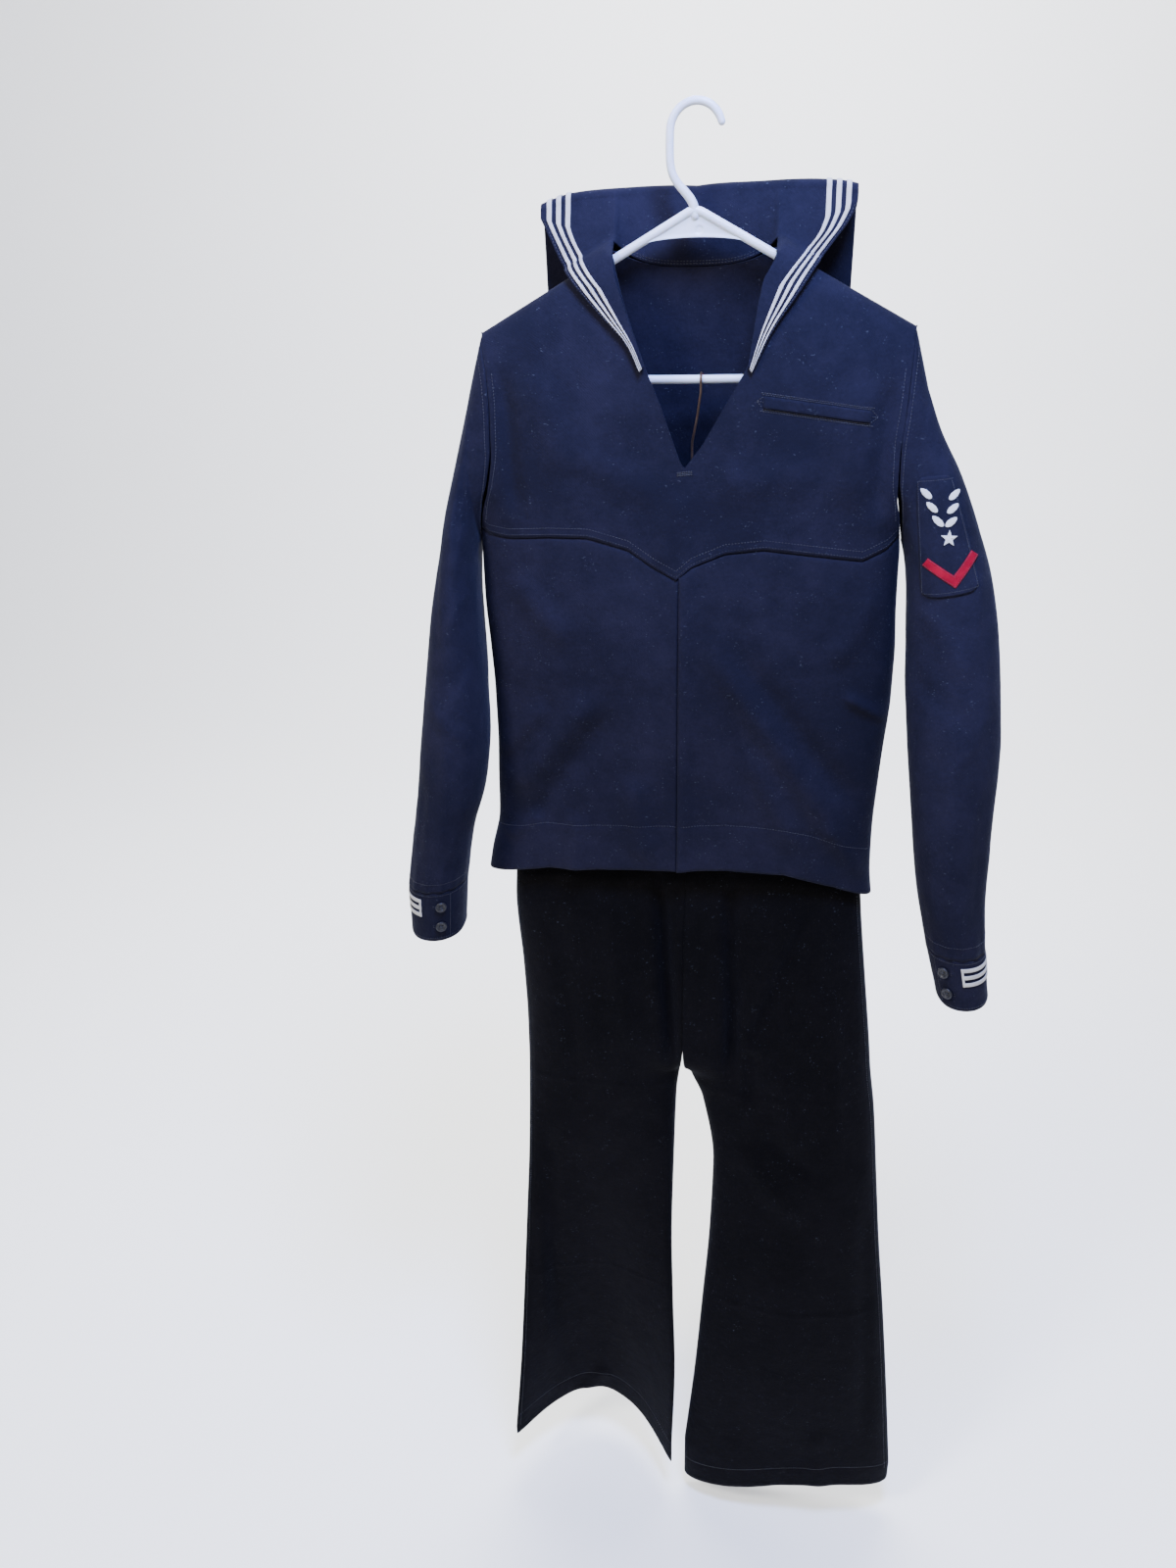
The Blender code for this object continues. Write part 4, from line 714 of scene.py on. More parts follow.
# sleeves, cuffs and buttons
sleeves = {
    "left": {"side": -1, "rows": [  # inner x, inner z, outer x, outer z, middle y, half depth
        (-222, -392, -226, -246, -1, 38), (-224, -400, -240, -300, -3, 42), (-226, -414, -253, -352, -7, 46),
        (-226, -440, -264, -408, -12, 50), (-225, -480, -274, -458, -17, 53), (-222, -545, -288, -554, -26, 55),
        (-221, -600, -296, -612, -33, 54), (-228, -665, -303, -668, -39, 52), (-244, -722, -312, -726, -45, 49),
        (-254, -780, -321, -781, -50, 44)],
        "cuff": [(-254.2, -780.4, -321.2, -781.4, -50, 43.6), (-260, -845, -322, -846, -52, 41)],
        "tapeStart": 72, "buttonAt": 112,
        "folds": [  # round and down the sleeve: from, to, height, half width
            (38, 20, 60, 200, 1.7, 9), (95, 40, 70, 230, 1.6, 11), (20, 180, 55, 330, -1.5, 9),
            (104, 215, 60, 300, 1.7, 9), (112, 300, 48, 350, -1.5, 8), (30, 330, 96, 400, 1.6, 9),
            (64, 360, 72, 540, 2.0, 9), (36, 430, 44, 548, -1.4, 7), (100, 420, 92, 545, 1.3, 8),
            (150, 60, 200, 250, 2.0, 12), (215, 160, 165, 340, 1.8, 11), (190, 340, 200, 530, -1.6, 12)]},
    "right": {"side": 1, "rows": [
        (212, -392, 226, -246, -2, 38), (215, -402, 242, -285, -5, 42), (218, -418, 262, -322, -10, 45),
        (221, -448, 283, -372, -16, 47), (223, -485, 299, -417, -24, 48), (225, -530, 311, -476, -36, 48),
        (228, -565, 318, -537, -48, 48), (233, -612, 323, -602, -59, 47), (241, -675, 322, -669, -68, 46),
        (251, -745, 323, -740, -76, 43), (266, -813, 329, -813, -82, 40)],
        "cuff": [(266.2, -813.4, 329.2, -813.4, -82, 39.6), (284, -878, 338, -874, -86, 37)],
        "tapeStart": 90, "buttonAt": 125,
        "folds": [
            (100, 30, 84, 190, 1.5, 9), (30, 230, 62, 330, 1.4, 9), (98, 210, 56, 320, 1.8, 9),
            (112, 290, 50, 380, -1.6, 9), (28, 350, 90, 440, 1.7, 9), (66, 340, 78, 560, 2.2, 10),
            (36, 420, 40, 580, -1.8, 8), (96, 440, 90, 575, 1.6, 8), (150, 70, 205, 260, 2.0, 12),
            (215, 180, 160, 360, 1.8, 11), (188, 360, 196, 560, -1.6, 12)]},
    "rings": 15, "blendRings": 5, "round": 0.26, "long": 0.58}
cuffs = {"shares": [(0.14, 0.213), (0.28, 0.353), (0.42, 0.493)], "tapeThick": 0.7 * mm, "sweep": -144,
         "buttonShares": (0.28, 0.68), "hems": (0.06, 0.93), "stand": 1.0 * mm}
button = {"radius": 6.3 * mm, "thick": 2.6 * mm, "well": 1.35 * mm, "wellRadius": 1.05 * mm,
          "dished": 9, "sides": 48,   # rings of the dished middle
          "profile": [(0.0, 0.62), (0.12, 0.62), (0.22, 0.62), (0.32, 0.62), (0.42, 0.63), (0.5, 0.64),
                      (0.58, 0.68), (0.64, 0.8), (0.7, 0.95), (0.8, 1.0), (0.9, 0.97), (0.97, 0.84),
                      (1.0, 0.62), (0.99, 0.35), (0.93, 0.08), (0.8, 0.0), (0.4, 0.0), (0.0, 0.0)]}


def ringAt(row, angle):
    # an oval ring: the cosine carries it between its inner and outer sides, the sine gives its depth
    innerX, innerZ, outerX, outerZ, middleY, half = row
    c, s = np.cos(angle), np.sin(angle)
    return np.stack([(innerX + outerX) / 2 + (outerX - innerX) / 2 * c,
                     middleY - half * np.sign(s) * np.abs(s) ** 0.85,
                     (innerZ + outerZ) / 2 + (outerZ - innerZ) / 2 * c], axis=-1)


def armholeAt(side, angle):
    top, low = shoulderZ(armholeX(body["shoulderAt"], side)), body["armpit"]
    z = (top + low) / 2 + (top - low) / 2 * np.cos(angle)
    x = armholeX(z, side) + side * 0.5 * mm
    return np.stack([x, np.where(np.sin(angle) >= 0, torsoY(x, z, -1), torsoY(x, z, 1)), z], axis=-1)


def ringRow(which, k):
    # the sleeve's table at ring k
    table = np.array(sleeves[which]["rows"], float) * mm
    at = np.clip((k - 1) / (sleeves["rings"] - 1), 0, 1) * (len(table) - 1)
    return cubicRows(table, np.arange(len(table)), at)


def sleeveAt(which, k, angle):
    # ring k: the armhole at 0, the cuff's seam at 15; the depth leaves the armhole's over five rings
    s, rings = sleeves[which], sleeves["rings"]
    k, angle = np.broadcast_arrays(np.asarray(k, float), np.asarray(angle, float))
    ring = ringAt(ringRow(which, k), angle)
    seam = armholeAt(s["side"], angle)
    blend = ease(np.minimum(1.0, np.maximum(k, 1) / sleeves["blendRings"]))
    ring[..., 1] = seam[..., 1] * (1 - blend) + ring[..., 1] * blend
    near = np.clip(k, 0, 1)[..., None]
    made = seam * (1 - near) + ring * near
    p, q = (angle / (2 * math.pi) % 1.0) * sleeves["round"], k / rings * sleeves["long"]
    move = (creases(p, q, s["folds"]) + 0.9 * mm * softNoise(p * 34 + 5, q * 22, 21 + s["side"])
            + 0.35 * mm * softNoise(p * 90 + 5, q * 60, 27 + s["side"]))
    move = move * ease(k * 0.9) * ease((rings - k) * 1.2) * ease(np.abs(np.sin(angle)) * 3 + 0.15)
    gather = 0.6 * mm * np.cos(angle * 13) * hill((rings - k) * 1.1)
    move = move + gather - 0.6 * mm * hill(k * 38.0 / 2.2)
    made[..., 1] -= np.sign(np.sin(angle)) * move * np.abs(np.sin(angle)) ** 0.4
    made[..., 0] += s["side"] * np.cos(angle) * move * 0.5
    return made


def sleeveFront(which, x, z):
    # depth of the sleeve's front at a place seen from ahead: the ring and angle are found in turn
    k = np.full(np.shape(x), 5.0)
    for turn in range(60):
        innerX, innerZ, outerX, outerZ = ringRow(which, k)[:4]
        c = np.clip((x - (innerX + outerX) / 2) / ((outerX - innerX) / 2), -0.995, 0.995)
        miss = (innerZ + outerZ) / 2 + (outerZ - innerZ) / 2 * c - z
        k = np.clip(k + miss * 18.0, 0.2, 15)
    return sleeveAt(which, k, np.arccos(c))[..., 1]


def cuffAt(which, share, angle, lift=0.0):
    # a cuff's ring at a share of its height, moved out along its own oval
    high, low = (np.array(r, float) * mm for r in sleeves[which]["cuff"])
    share, angle = np.broadcast_arrays(np.asarray(share, float), np.asarray(angle, float))
    row = [a + (b - a) * share for a, b in zip(high, low)]
    point = ringAt(row, angle)
    chord = ringAt(row, angle + 0.02) - point
    centre = np.stack([(row[0] + row[2]) / 2, row[4], (row[1] + row[3]) / 2], axis=-1)
    out = unit(np.stack([-chord[..., 1], chord[..., 0], np.zeros_like(share)], axis=-1))
    out *= np.sign((out * (point - centre) * (1, 1, 0)).sum(axis=-1))[..., None]
    return point + out * (np.asarray(lift)[..., None] if np.ndim(lift) else lift), out


def makeButton(name, node, centre, up):
    # a turned disc with a raised rim and a dished middle; crossed thread runs through four wells
    radius, thick, well = button["radius"], button["thick"], button["well"]
    profile = np.array(button["profile"])
    angle = np.linspace(0, 2 * math.pi, button["sides"] + 1)[:-1]
    r, h = profile[:, :1] * radius, profile[:, 1:] * thick + 0 * angle
    x, y = r * np.cos(angle), r * np.sin(angle)
    dished = np.arange(len(profile))[:, None] < button["dished"]
    for wellX, wellY in ((1, 1), (1, -1), (-1, 1), (-1, -1)):
        away = np.hypot(x - wellX * well, y - wellY * well)
        h = h - np.where(dished, 1.5 * mm * ease((button["wellRadius"] - away) / (0.5 * mm)), 0)
    right = unit(np.cross(np.array((0, 0, 1.0)), up))
    over = np.cross(up, right)
    points = centre + x[..., None] * right + y[..., None] * over + h[..., None] * up
    points[0], points[-1] = points[0].mean(0), points[-1].mean(0)
    quads = gridQuads(len(profile), button["sides"], closed=True)
    uv = np.stack([x.ravel(), y.ravel()], 1)[quads.ravel()]
    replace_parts(makeMesh(name, points.reshape(-1, 3), quads, uv, "button", sharp=60), node)
    t = np.linspace(-1, 1, 9)[:, None]
    level = up * (0.62 * thick + 0.25 * mm - 0.5 * mm * t ** 4)
    return [(centre + right * (t * well) + over * (t * way * well) + level, up) for way in (1, -1)]


def makeSleeve(which):
    s, side = sleeves[which], which.title()
    angle = np.linspace(0, 2 * math.pi, steps(112) + 1)[:-1][None, :]
    k = np.concatenate([np.linspace(0, 1.2, steps(14)), np.linspace(1.2, 15, steps(190))[1:]])[:, None]
    grid = sleeveAt(which, k, angle)
    sleeve = shell("sleeve" + side, "sleeve_" + which, grid, cloth["thick"], "jumper",
                   grid - grid.mean(axis=1, keepdims=True), closed=True)
    share = run(steps(36))
    tuck = -0.8 * mm * hill(share / 0.02) - 0.8 * mm * hill((1 - share) / 0.02)
    wrinkle = 0.18 * mm * softNoise(angle * 2.2 + share * 0, share * 4 + angle * 0, 31 + s["side"])
    point, out = cuffAt(which, share, angle, tuck + wrinkle)
    cuff = shell("cuff" + side, "cuff_" + which, point, cloth["thick"], "jumper", out, closed=True)
    start, sweep = s["tapeStart"], cuffs["sweep"]
    across = np.linspace(0, 1, 7)[None, :]
    crown = 1 - (2 * across - 1) ** 4
    turns = np.radians(np.linspace(start, start + sweep, steps(70)))[:, None]
    strips = [cuffAt(which, low + (high - low) * across, turns, 0.85 * mm + 0.22 * mm * crown)
              for low, high in cuffs["shares"]]
    tall = np.linspace(cuffs["shares"][0][0], cuffs["shares"][2][1], steps(26))[:, None]
    strips.append(cuffAt(which, tall, np.radians(start - 4.6 * across), 1.0 * mm + 0.25 * mm * crown))
    tape = makeMesh("cuffTapes" + side, *joined([wall(grid, cuffs["tapeThick"], out) for grid, out in strips]),
                    "tape")
    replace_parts(tape, "cuff_tapes_" + which)
    runs = []
    for number, at in enumerate(cuffs["buttonShares"], 1):
        centre, out = cuffAt(which, at, math.radians(s["buttonAt"]), cuffs["stand"])
        runs += makeButton(f"cuffButton{side}{number}", f"cuff_button_{which}_{number}", centre, out)
    sewn = threads("buttonThread" + side, runs, pitch=1.2 * mm, share=1.1, radius=0.32 * mm)
    hole = np.radians(np.linspace(s["buttonAt"] - 17, s["buttonAt"] + 8, 40))
    runs = [cuffAt(which, at, np.radians(np.linspace(0, 360, 300)), 0.2 * mm) for at in cuffs["hems"]]
    runs += [cuffAt(which, at + d, hole, 0.35 * mm) for at in cuffs["buttonShares"] for d in (-0.016, 0.016)]
    runs.append(cuffAt(which, np.linspace(*cuffs["hems"], 60), math.radians(s["buttonAt"] + 20), 0.2 * mm))
    stitched = threads("cuffStitches" + side, runs, pitch=2.6 * mm)
    runs = []
    for k in (0.22, 14.7):                    # just under the armhole, just over the cuff
        ring = sleeveAt(which, k, np.radians(np.linspace(0, 360, 420)))
        out = unit(ring - ring.mean(axis=0))
        runs.append((ring + out * 0.1 * mm, out))
    threads("sleeveStitches" + side, runs)
    print("sleeve and cuff,", which)


makeSleeve("left")
makeSleeve("right")


# the sailor collar
collar = {"fold": -62 * mm, "half": 149 * mm, "radius": 8 * mm, "hang": 185 * mm, "lift": 1.7 * mm,
          "taped": 28.7, "whole": 72,         # width kept for the tapes, and of the lapel
          "tapes": [6 * mm, 15 * mm, 24 * mm], "wide": 4.7 * mm, "tapeThick": 0.7 * mm,
          "edgeLeft": [(-49, -224), (-61, -200), (-86, -174), (-111, -149), (-129, -127), (-140, -106),
                       (-149, -88.5)],
          "edgeRight": [(58, -226), (75, -191), (98, -158), (116, -132), (132, -111), (141, -99), (149, -84)],
          "neckLeft": [(-44, -219), (-62, -171), (-76, -127), (-77, -109.5)],
          "neckRight": [(54, -220), (66, -145), (76, -127), (77, -109.5)]}


def foldTop(x):
    # the top fold droops at its ends and dips a little in the middle
    side = np.abs(x) / collar["half"]
    wave = 1.6 * mm * softNoise(x * 16 + 2, 0 * x, 41)
    middle = 1 - np.minimum(1.0, np.abs(x) / (60 * mm))
    return (collar["fold"] + 0.03 * x - 9 * mm * side ** 6 - 3 * mm * middle ** 2
            + wave * ease((1 - side) * 5))


def standY(x, z):
    # a straight rise from the back neck seam to the fold
    base = backNeck(x)
    seamY = np.where(np.abs(x) < body["neckHalf"], torsoY(x, base, 1, False), 0.0)
    share = (z - base) / np.maximum(foldTop(x) - base, 1 * mm)
    bow = -3.0 * mm * np.sin(np.clip(share, 0, 1) * math.pi) * ease((90 * mm - np.abs(x)) / (60 * mm))
    return seamY + (34 * mm - 0.8 * x * x - seamY) * np.maximum(share, -0.5) + bow


def collarBase(x):
    # the back neck seam, then straight out to the corner of the free edge
    neckHalf = body["neckHalf"]
    share = (np.abs(x) - neckHalf) / (collar["half"] - neckHalf)
    corner = foldTop(np.sign(x) * collar["half"]) - collar["radius"] - 5 * mm
    neck = shoulderZ(np.array(neckHalf)) + 7.5 * mm
    inner = backNeck(x) + 0.5 * mm + 7 * mm * (np.abs(x) / neckHalf) ** 6
    return np.where(np.abs(x) <= neckHalf, inner, neck + share * (corner - neck))


def collarY(x, z):
    # on the body below the shoulder, standing above it, and turned from one to the other at the neck
    ridge, lift = shoulderZ(x) + 9 * mm, cloth["thick"] + collar["lift"]
    drop = np.clip((ridge - z) / body["roll"], 0, 1)
    left, right, front, _ = smoothTable(body["rows"], z)
    lap = -front * depthAcross(x, left, right) * np.sqrt(1 - (1 - drop) ** 2) - lift
    lap = np.where(z > ridge, -lift + 3 * (z - ridge), lap)
    up = standY(x, z)
    low, high = np.minimum(lap, up), np.maximum(lap, up)
    lower = low - 1.5 * mm * np.maximum(0.0, 1 - (high - low) / (6 * mm)) ** 2
    outside = ease((np.abs(x) - 72 * mm) / (18 * mm))
    standing = (1 - outside) * ease((z - (collarBase(x) - 14 * mm)) / (14 * mm))
    return lower * (1 - standing) + up * standing


def lapelAt(way, t, w):
    # t runs from the V's end up to the shoulder, w in from the free edge; where the lapel narrows,
    # the width kept for the tapes narrows with it
    t, w = np.broadcast_arrays(t, w)
    side = "Left" if way < 0 else "Right"
    edge, neck = alongLine(collar["edge" + side], t), alongLine(collar["neck" + side], t)
    gap = np.linalg.norm(neck - edge, axis=-1)
    squeeze = np.minimum(1.0, gap / (46 * mm))
    taped, whole = collar["taped"] * mm, collar["whole"] * mm
    limit = taped * squeeze / gap
    share = np.where(w <= taped, w * squeeze / gap, limit + (1 - limit) * (w - taped) / (whole - taped))
    last = ease((t - 0.8) / 0.2)
    spot = edge + (neck - edge) * (share * (1 - last) + w / whole * last)[..., None]
    x, z = spot[..., 0], spot[..., 1]
    return np.stack([x, collarY(x, z), z], axis=-1)


def backAt(x, far):
    # up the standing part, over the fold in a half circle, then down the flap behind
    x, far = np.broadcast_arrays(x, far)
    r = collar["radius"]
    top, base = foldTop(x), collarBase(x)
    rise = top - r - base
    foldY = collarY(x, top - r)
    turn = np.clip((far - rise) / r, 0, math.pi)
    down = np.maximum(far - rise - math.pi * r, 0)
    z = np.where(far <= rise, base + far, top - r + r * np.sin(turn) - down)
    onBack = torsoY(x, z, 1, False) + cloth["thick"] + 1.5 * mm
    hang = foldY + 2 * r
    flap = np.maximum(hang + (46 * mm - hang) * np.minimum(1, down / (120 * mm)), onBack)
    ripple = 1.2 * mm * softNoise(x * 14 + 7, down * 6, 43) * ease(down / (40 * mm))
    y = np.where(far <= rise, collarY(x, base + np.minimum(far, rise)), foldY + r * (1 - np.cos(turn)))
    y = np.where(down > 0, flap + np.minimum(ripple, 0.6 * mm), y)
    return np.stack([x, y, z], axis=-1)


def backStrip(x, share):
    # share 0 to 1 up to the fold's end, 1 to 2 down the flap
    rise = foldTop(x) - collar["radius"] - collarBase(x)
    turn = math.pi * collar["radius"]
    return backAt(x, np.where(share < 1, share * (rise + turn), rise + turn + (share - 1) * collar["hang"]))


def frontward(normals, rows):
    # the front of a collar's first rows faces -Y
    return -normals if normals[:rows, :, 1].mean() > 0 else normals


def makeCollar():
    w = np.linspace(0, collar["whole"], steps(56)) * mm
    outer = collar["half"] - w
    x = np.concatenate([-outer, np.linspace(-77, 77, steps(64))[1:-1] * mm, outer[::-1]])
    share = np.concatenate([np.linspace(0, 1, steps(64)), np.linspace(1, 2, steps(70))[1:]])[:, None]
    t = run(steps(96))
    sheets = [backStrip(x[None, :], share), lapelAt(-1, t, w), lapelAt(1, t, w)[:, ::-1]]
    normals = [frontward(n, len(n) // 3) for n in map(gridNormals, sheets)]
    starts = np.cumsum([0] + [g.shape[0] * g.shape[1] for g in sheets])
    index = [np.arange(g.shape[0] * g.shape[1]).reshape(g.shape[:2]) + b for g, b in zip(sheets, starts)]
    # the lapels' last rows are the standing part's first ones, so they share its corners
    for number, seam in ((1, slice(0, len(w))), (2, slice(len(x) - len(w), len(x)))):
        normals[number][-1] = normals[0][0, seam] = unit(normals[number][-1] + normals[0][0, seam])
        sheets[number][-1] = sheets[0][0, seam]
        index[number][-1] = index[0][0, seam]
    points = np.concatenate([g.reshape(-1, 3) for g in sheets]) + ahead * 0.2 * mm
    ups = np.concatenate([n.reshape(-1, 3) for n in normals])
    faces = np.concatenate([np.stack([i[:-1, :-1], i[:-1, 1:], i[1:, 1:], i[1:, :-1]], -1).reshape(-1, 4)
                            for i in index])
    a, b, c = (points[faces[:, k]] for k in range(3))
    turned = (np.cross(b - a, c - a) * ups[faces[:, 0]]).sum(axis=1) < 0
    faces[turned] = faces[turned][:, ::-1]
    # an edge whose own reverse is on no face is on the rim
    edges = np.concatenate([faces[:, [k, (k + 1) % 4]] for k in range(4)]).astype(np.int64)
    count = len(points)
    free = edges[~np.isin(edges[:, 0] * count + edges[:, 1], edges[:, 1] * count + edges[:, 0])]
    both = np.concatenate([points, points - ups * cloth["thick"]])
    faces = np.concatenate([faces, faces[:, ::-1] + count, rim(free[:, 1], free[:, 0], count)])
    flat = both[faces.ravel() % count]
    uv = np.stack([flat[:, 0], flat[:, 2] + flat[:, 1]], 1)
    sheet = makeMesh("collarCloth", both, faces, uv, "jumper")
    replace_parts(sheet, "collar")
    for number, start in enumerate(collar["tapes"], 1):
        makeCollarTape(number, start)
    runs = [(lapelAt(way, np.linspace(0.02, 1, 220), 2.6 * mm) + ahead * 0.5 * mm, (0.25 * way, -1.0, 0.3))
            for way in (-1, 1)]
    level = np.linspace(-70, 70, 200) * mm
    runs += [(backAt(level, off) + ahead * 0.4 * mm, ahead) for off in (2.2 * mm, 4.6 * mm)]
    stitched = threads("collarStitches", runs)
    print("collar and its tapes")


def makeCollarTape(number, start):
    # up one lapel, over the fold, down the flap, along its bottom and back the same way
    across = start + np.linspace(0, collar["wide"], 7)[None, :]
    half, end = collar["half"] - across, (collar["hang"] - across) / collar["hang"]
    t, up, down = run(steps(110)), run(steps(60)), run(steps(56))[1:]
    sideways = np.linspace(-1, 1, steps(90))[1:-1, None]
    grid = np.concatenate([lapelAt(-1, t, across)[:-1], backStrip(-half, up), backStrip(-half, 1 + down * end),
                           backStrip(sideways * half, 1 + end), backStrip(half, 1 + down[::-1] * end),
                           backStrip(half, up[::-1]), lapelAt(1, t[::-1], across)[1:]])
    normals = frontward(gridNormals(grid), steps(110))
    crown = 0.95 * mm + 0.2 * mm * (1 - np.linspace(-1, 1, 7) ** 4)[None, :, None]
    piece = shell(f"collarTape{number}", f"collar_tape_{number}", grid + ahead * 0.2 * mm + normals * crown,
                  collar["tapeThick"], "tape", normals, normals=normals)


makeCollar()


# chest pocket
pocket = {"corners": [(70, -257), (170, -272), (170, -262), (70, -247)], "lift": 0.4 * mm, "thick": 1.2 * mm,
          "long": 101.1}


def cornerGrid(corners, columns, rows):
    # a grid spread between four corners, lower ones first, and the corners in metres
    low0, low1, high1, high0 = corners = [np.array(c, float) * mm for c in corners]
    u, v = run(steps(columns)).T[..., None], run(steps(rows))[..., None]
    return (low0 * (1 - u) + low1 * u) * (1 - v) + (high0 * (1 - u) + high1 * u) * v, u, v, corners


def makePocket():
    # a narrow welt across the chest, sewn all round and tacked with an arrowhead at each end
    spot, u, v, (low0, low1, _, high0) = cornerGrid(pocket["corners"], 90, 16)
    x, z = spot[..., 0], spot[..., 1]
    u, v = u[..., 0], v[..., 0]
    edge = np.minimum(np.minimum(u, 1 - u) * 100, np.minimum(v, 1 - v) * 10) * mm
    puff = 0.5 * mm * ease(edge / (1.6 * mm)) + 0.15 * mm * np.sin(u * 95)
    grid = np.stack([x, torsoY(x, z, -1) - 0.15 * mm - puff, z], axis=2)
    welt = shell("pocketWelt", "pocket_welt", grid, pocket["thick"], "jumper", ahead,
                 lift=pocket["lift"] + pocket["thick"])
    along = unit(low1 - low0)
    up = np.array([-along[1], along[0]])
    paths = []
    for start, end, off in ((low0, -3.4, -3.2), (low0, -1.9, -1.7), (high0, -3.4, 3.2), (high0, -1.9, 1.7)):
        t = np.linspace(end * mm, (pocket["long"] - end) * mm, 160)[:, None]
        paths.append(start + along * t + up * off * mm)
    for at, way in ((low0, -1), (low1, 1)):
        for k in (-1, 0, 1):
            tip = at + along * way * 7.5 * mm + up * (5 * mm)
            foot = at + along * way * 1.0 * mm + up * (5 + k * 5.5) * mm
            paths.append(tip + (foot - tip) * run(20))
    stitched = threads("pocketStitches", [seamPath(path[:, 0], path[:, 1], -1, 0.45 * mm) for path in paths],
                       pitch=2.5 * mm, share=0.74, radius=0.34 * mm)
    print("chest pocket")


makePocket()


# sleeve badge
badge = {"patch": [(230, -437), (285, -425), (251, -320), (218, -324)],
         "chevron": [(231, -401), (259, -417), (277, -391)], "wide": 9 * mm,
         "star": (251, -377), "starRadius": (8.0, 0.42),      # outer, and inner as a share of it
         "middle": (243, -352), "leaf": (13.0, 2.8), "lean": 38}


def onSleeve(spot, lift):
    x, z = spot[..., 0], spot[..., 1]
    return np.stack([x, sleeveFront("right", x, z) - lift, z], axis=-1)


def chevronGrid():
    # two straight bars that meet on the line halfway between them
    a, b, c = (np.array(p, float) * mm for p in badge["chevron"])
    first, second = unit(b - a), unit(c - b)
    n1, n2 = np.array([-first[1], first[0]]), np.array([-second[1], second[0]])
    meet = (n1 + n2) / (1 + float(n1 @ n2))
    t = np.linspace(0, 1, steps(44))[None, :, None]
    w = np.linspace(-1, 1, 11)[:, None, None] * badge["wide"] / 2
    corner = b + meet * w
    return np.concatenate([(a + n1 * w) * (1 - t) + corner * t,
                           corner * (1 - t[:, 1:]) + (c + n2 * w) * t[:, 1:]], axis=1)


def badgeFigures():
    # leaves are ovals pointed at both ends, the star has ten corners; both are lists of edge points
    made = []
    turn = np.linspace(0, 2 * math.pi, 65)[:-1]
    middleX, middleZ = badge["middle"]
    long, half = (v * mm for v in badge["leaf"])
    for side, label in ((-1, "left"), (1, "right")):
        for k in range(3):
            centre = np.array([middleX + side * (6 + 3.5 * k) + 2.5 * (2 - k) - 2, middleZ + 12 * k - 10]) * mm
            lean = side * math.radians(badge["lean"]) + math.radians(90 - 90 * side)
            u = np.cos(turn) * long / 2
            v = np.sign(np.sin(turn)) * np.abs(np.sin(turn)) ** 1.25 * half * (1 - 0.12 * np.cos(turn))
            v = v + 0.10 * half * np.sin(turn) * np.abs(np.cos(turn * 5))
            outline = centre + np.stack([u * math.cos(lean) - v * math.sin(lean),
                                         u * math.sin(lean) + v * math.cos(lean)], 1)
            made.append((f"badgeLeaf{label.title()}{k + 1}", f"badge_leaf_{label}_{k + 1}", outline, centre,
                         np.abs(np.cos(turn)) ** 3))
    outer, inner = badge["starRadius"]
    radii = outer * np.where(np.arange(11) % 2 == 0, 1, inner)
    angles = np.arange(11) * math.pi / 5 + math.pi / 2
    at = np.linspace(0, 10, 61)[:-1]
    centre = np.array(badge["star"]) * mm
    edge = [np.interp(at, np.arange(11), radii * f(angles)) for f in (np.cos, np.sin)]
    outline = centre + np.stack(edge, 1) * mm
    made.append(("badgeStar", "badge_star", outline, centre, np.abs(np.sin(at * math.pi / 2)) ** 2))
    return made


def makeFigure(name, node, outline, centre, ridges):
    # a low dome with a vein, on a flat back
    rings = np.linspace(0, 1, steps(12))[:, None, None]
    r = rings[..., 0]
    dome = 0.55 * mm * (1 - r ** 2) - 0.28 * mm * ridges[None] * r * (1 - r) * 4
    top = onSleeve(centre + (outline[None] - centre) * rings, 2.75 * mm + dome)
    under = top[::-1] - ahead * (0.55 * mm + dome[::-1, :, None])
    points = np.concatenate([top, under]).reshape(-1, 3)
    quads = outward(points, gridQuads(2 * len(top), top.shape[1], closed=True), points.mean(axis=0))
    x, z = points[:, 0], points[:, 2]
    uv = np.stack([np.hypot(x - centre[0], z - centre[1]) * 0.2, (x + z) * 0.7], 1)[quads.ravel()]
    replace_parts(makeMesh(name, points, quads, uv, "stitch"), node)


def makeBadge():
    spot, u, v, corners = cornerGrid(badge["patch"], 44, 70)
    middle = spot.mean(axis=(0, 1))
    spot = spot + (middle - spot) * 0.10 * (np.abs(2 * u - 1) * np.abs(2 * v - 1)) ** 6
    edge = np.minimum(np.minimum(u, 1 - u)[..., 0] * 50, np.minimum(v, 1 - v)[..., 0] * 105) * mm
    patch = shell("badgePatch", "badge_patch", onSleeve(spot, 1.5 * mm + 0.35 * mm * ease(edge / (1.4 * mm))),
                  0.9 * mm, "jumper", ahead)
    crown = 0.35 * mm * (1 - np.abs(np.linspace(-1, 1, 11)[:, None]) ** 5)
    grid = onSleeve(chevronGrid(), 2.5 * mm + crown)
    chevron = shell("badgeChevron", "badge_chevron", grid, 0.8 * mm, "felt", ahead)
    edge = np.concatenate([a + (b - a) * run(40) for a, b in zip(corners, corners[1:] + corners[:1])])
    runs = [(grid[k] + ahead * 0.1 * mm, ahead) for k in (9, 1)]
    runs.append((onSleeve(middle + (edge - middle) * 0.93, 1.9 * mm), ahead))
    stitched = threads("badgeStitches", runs, pitch=2.2 * mm, share=0.7, radius=0.26 * mm)
    for figure in badgeFigures():
        makeFigure(*figure)
    print("sleeve badge")


makeBadge()


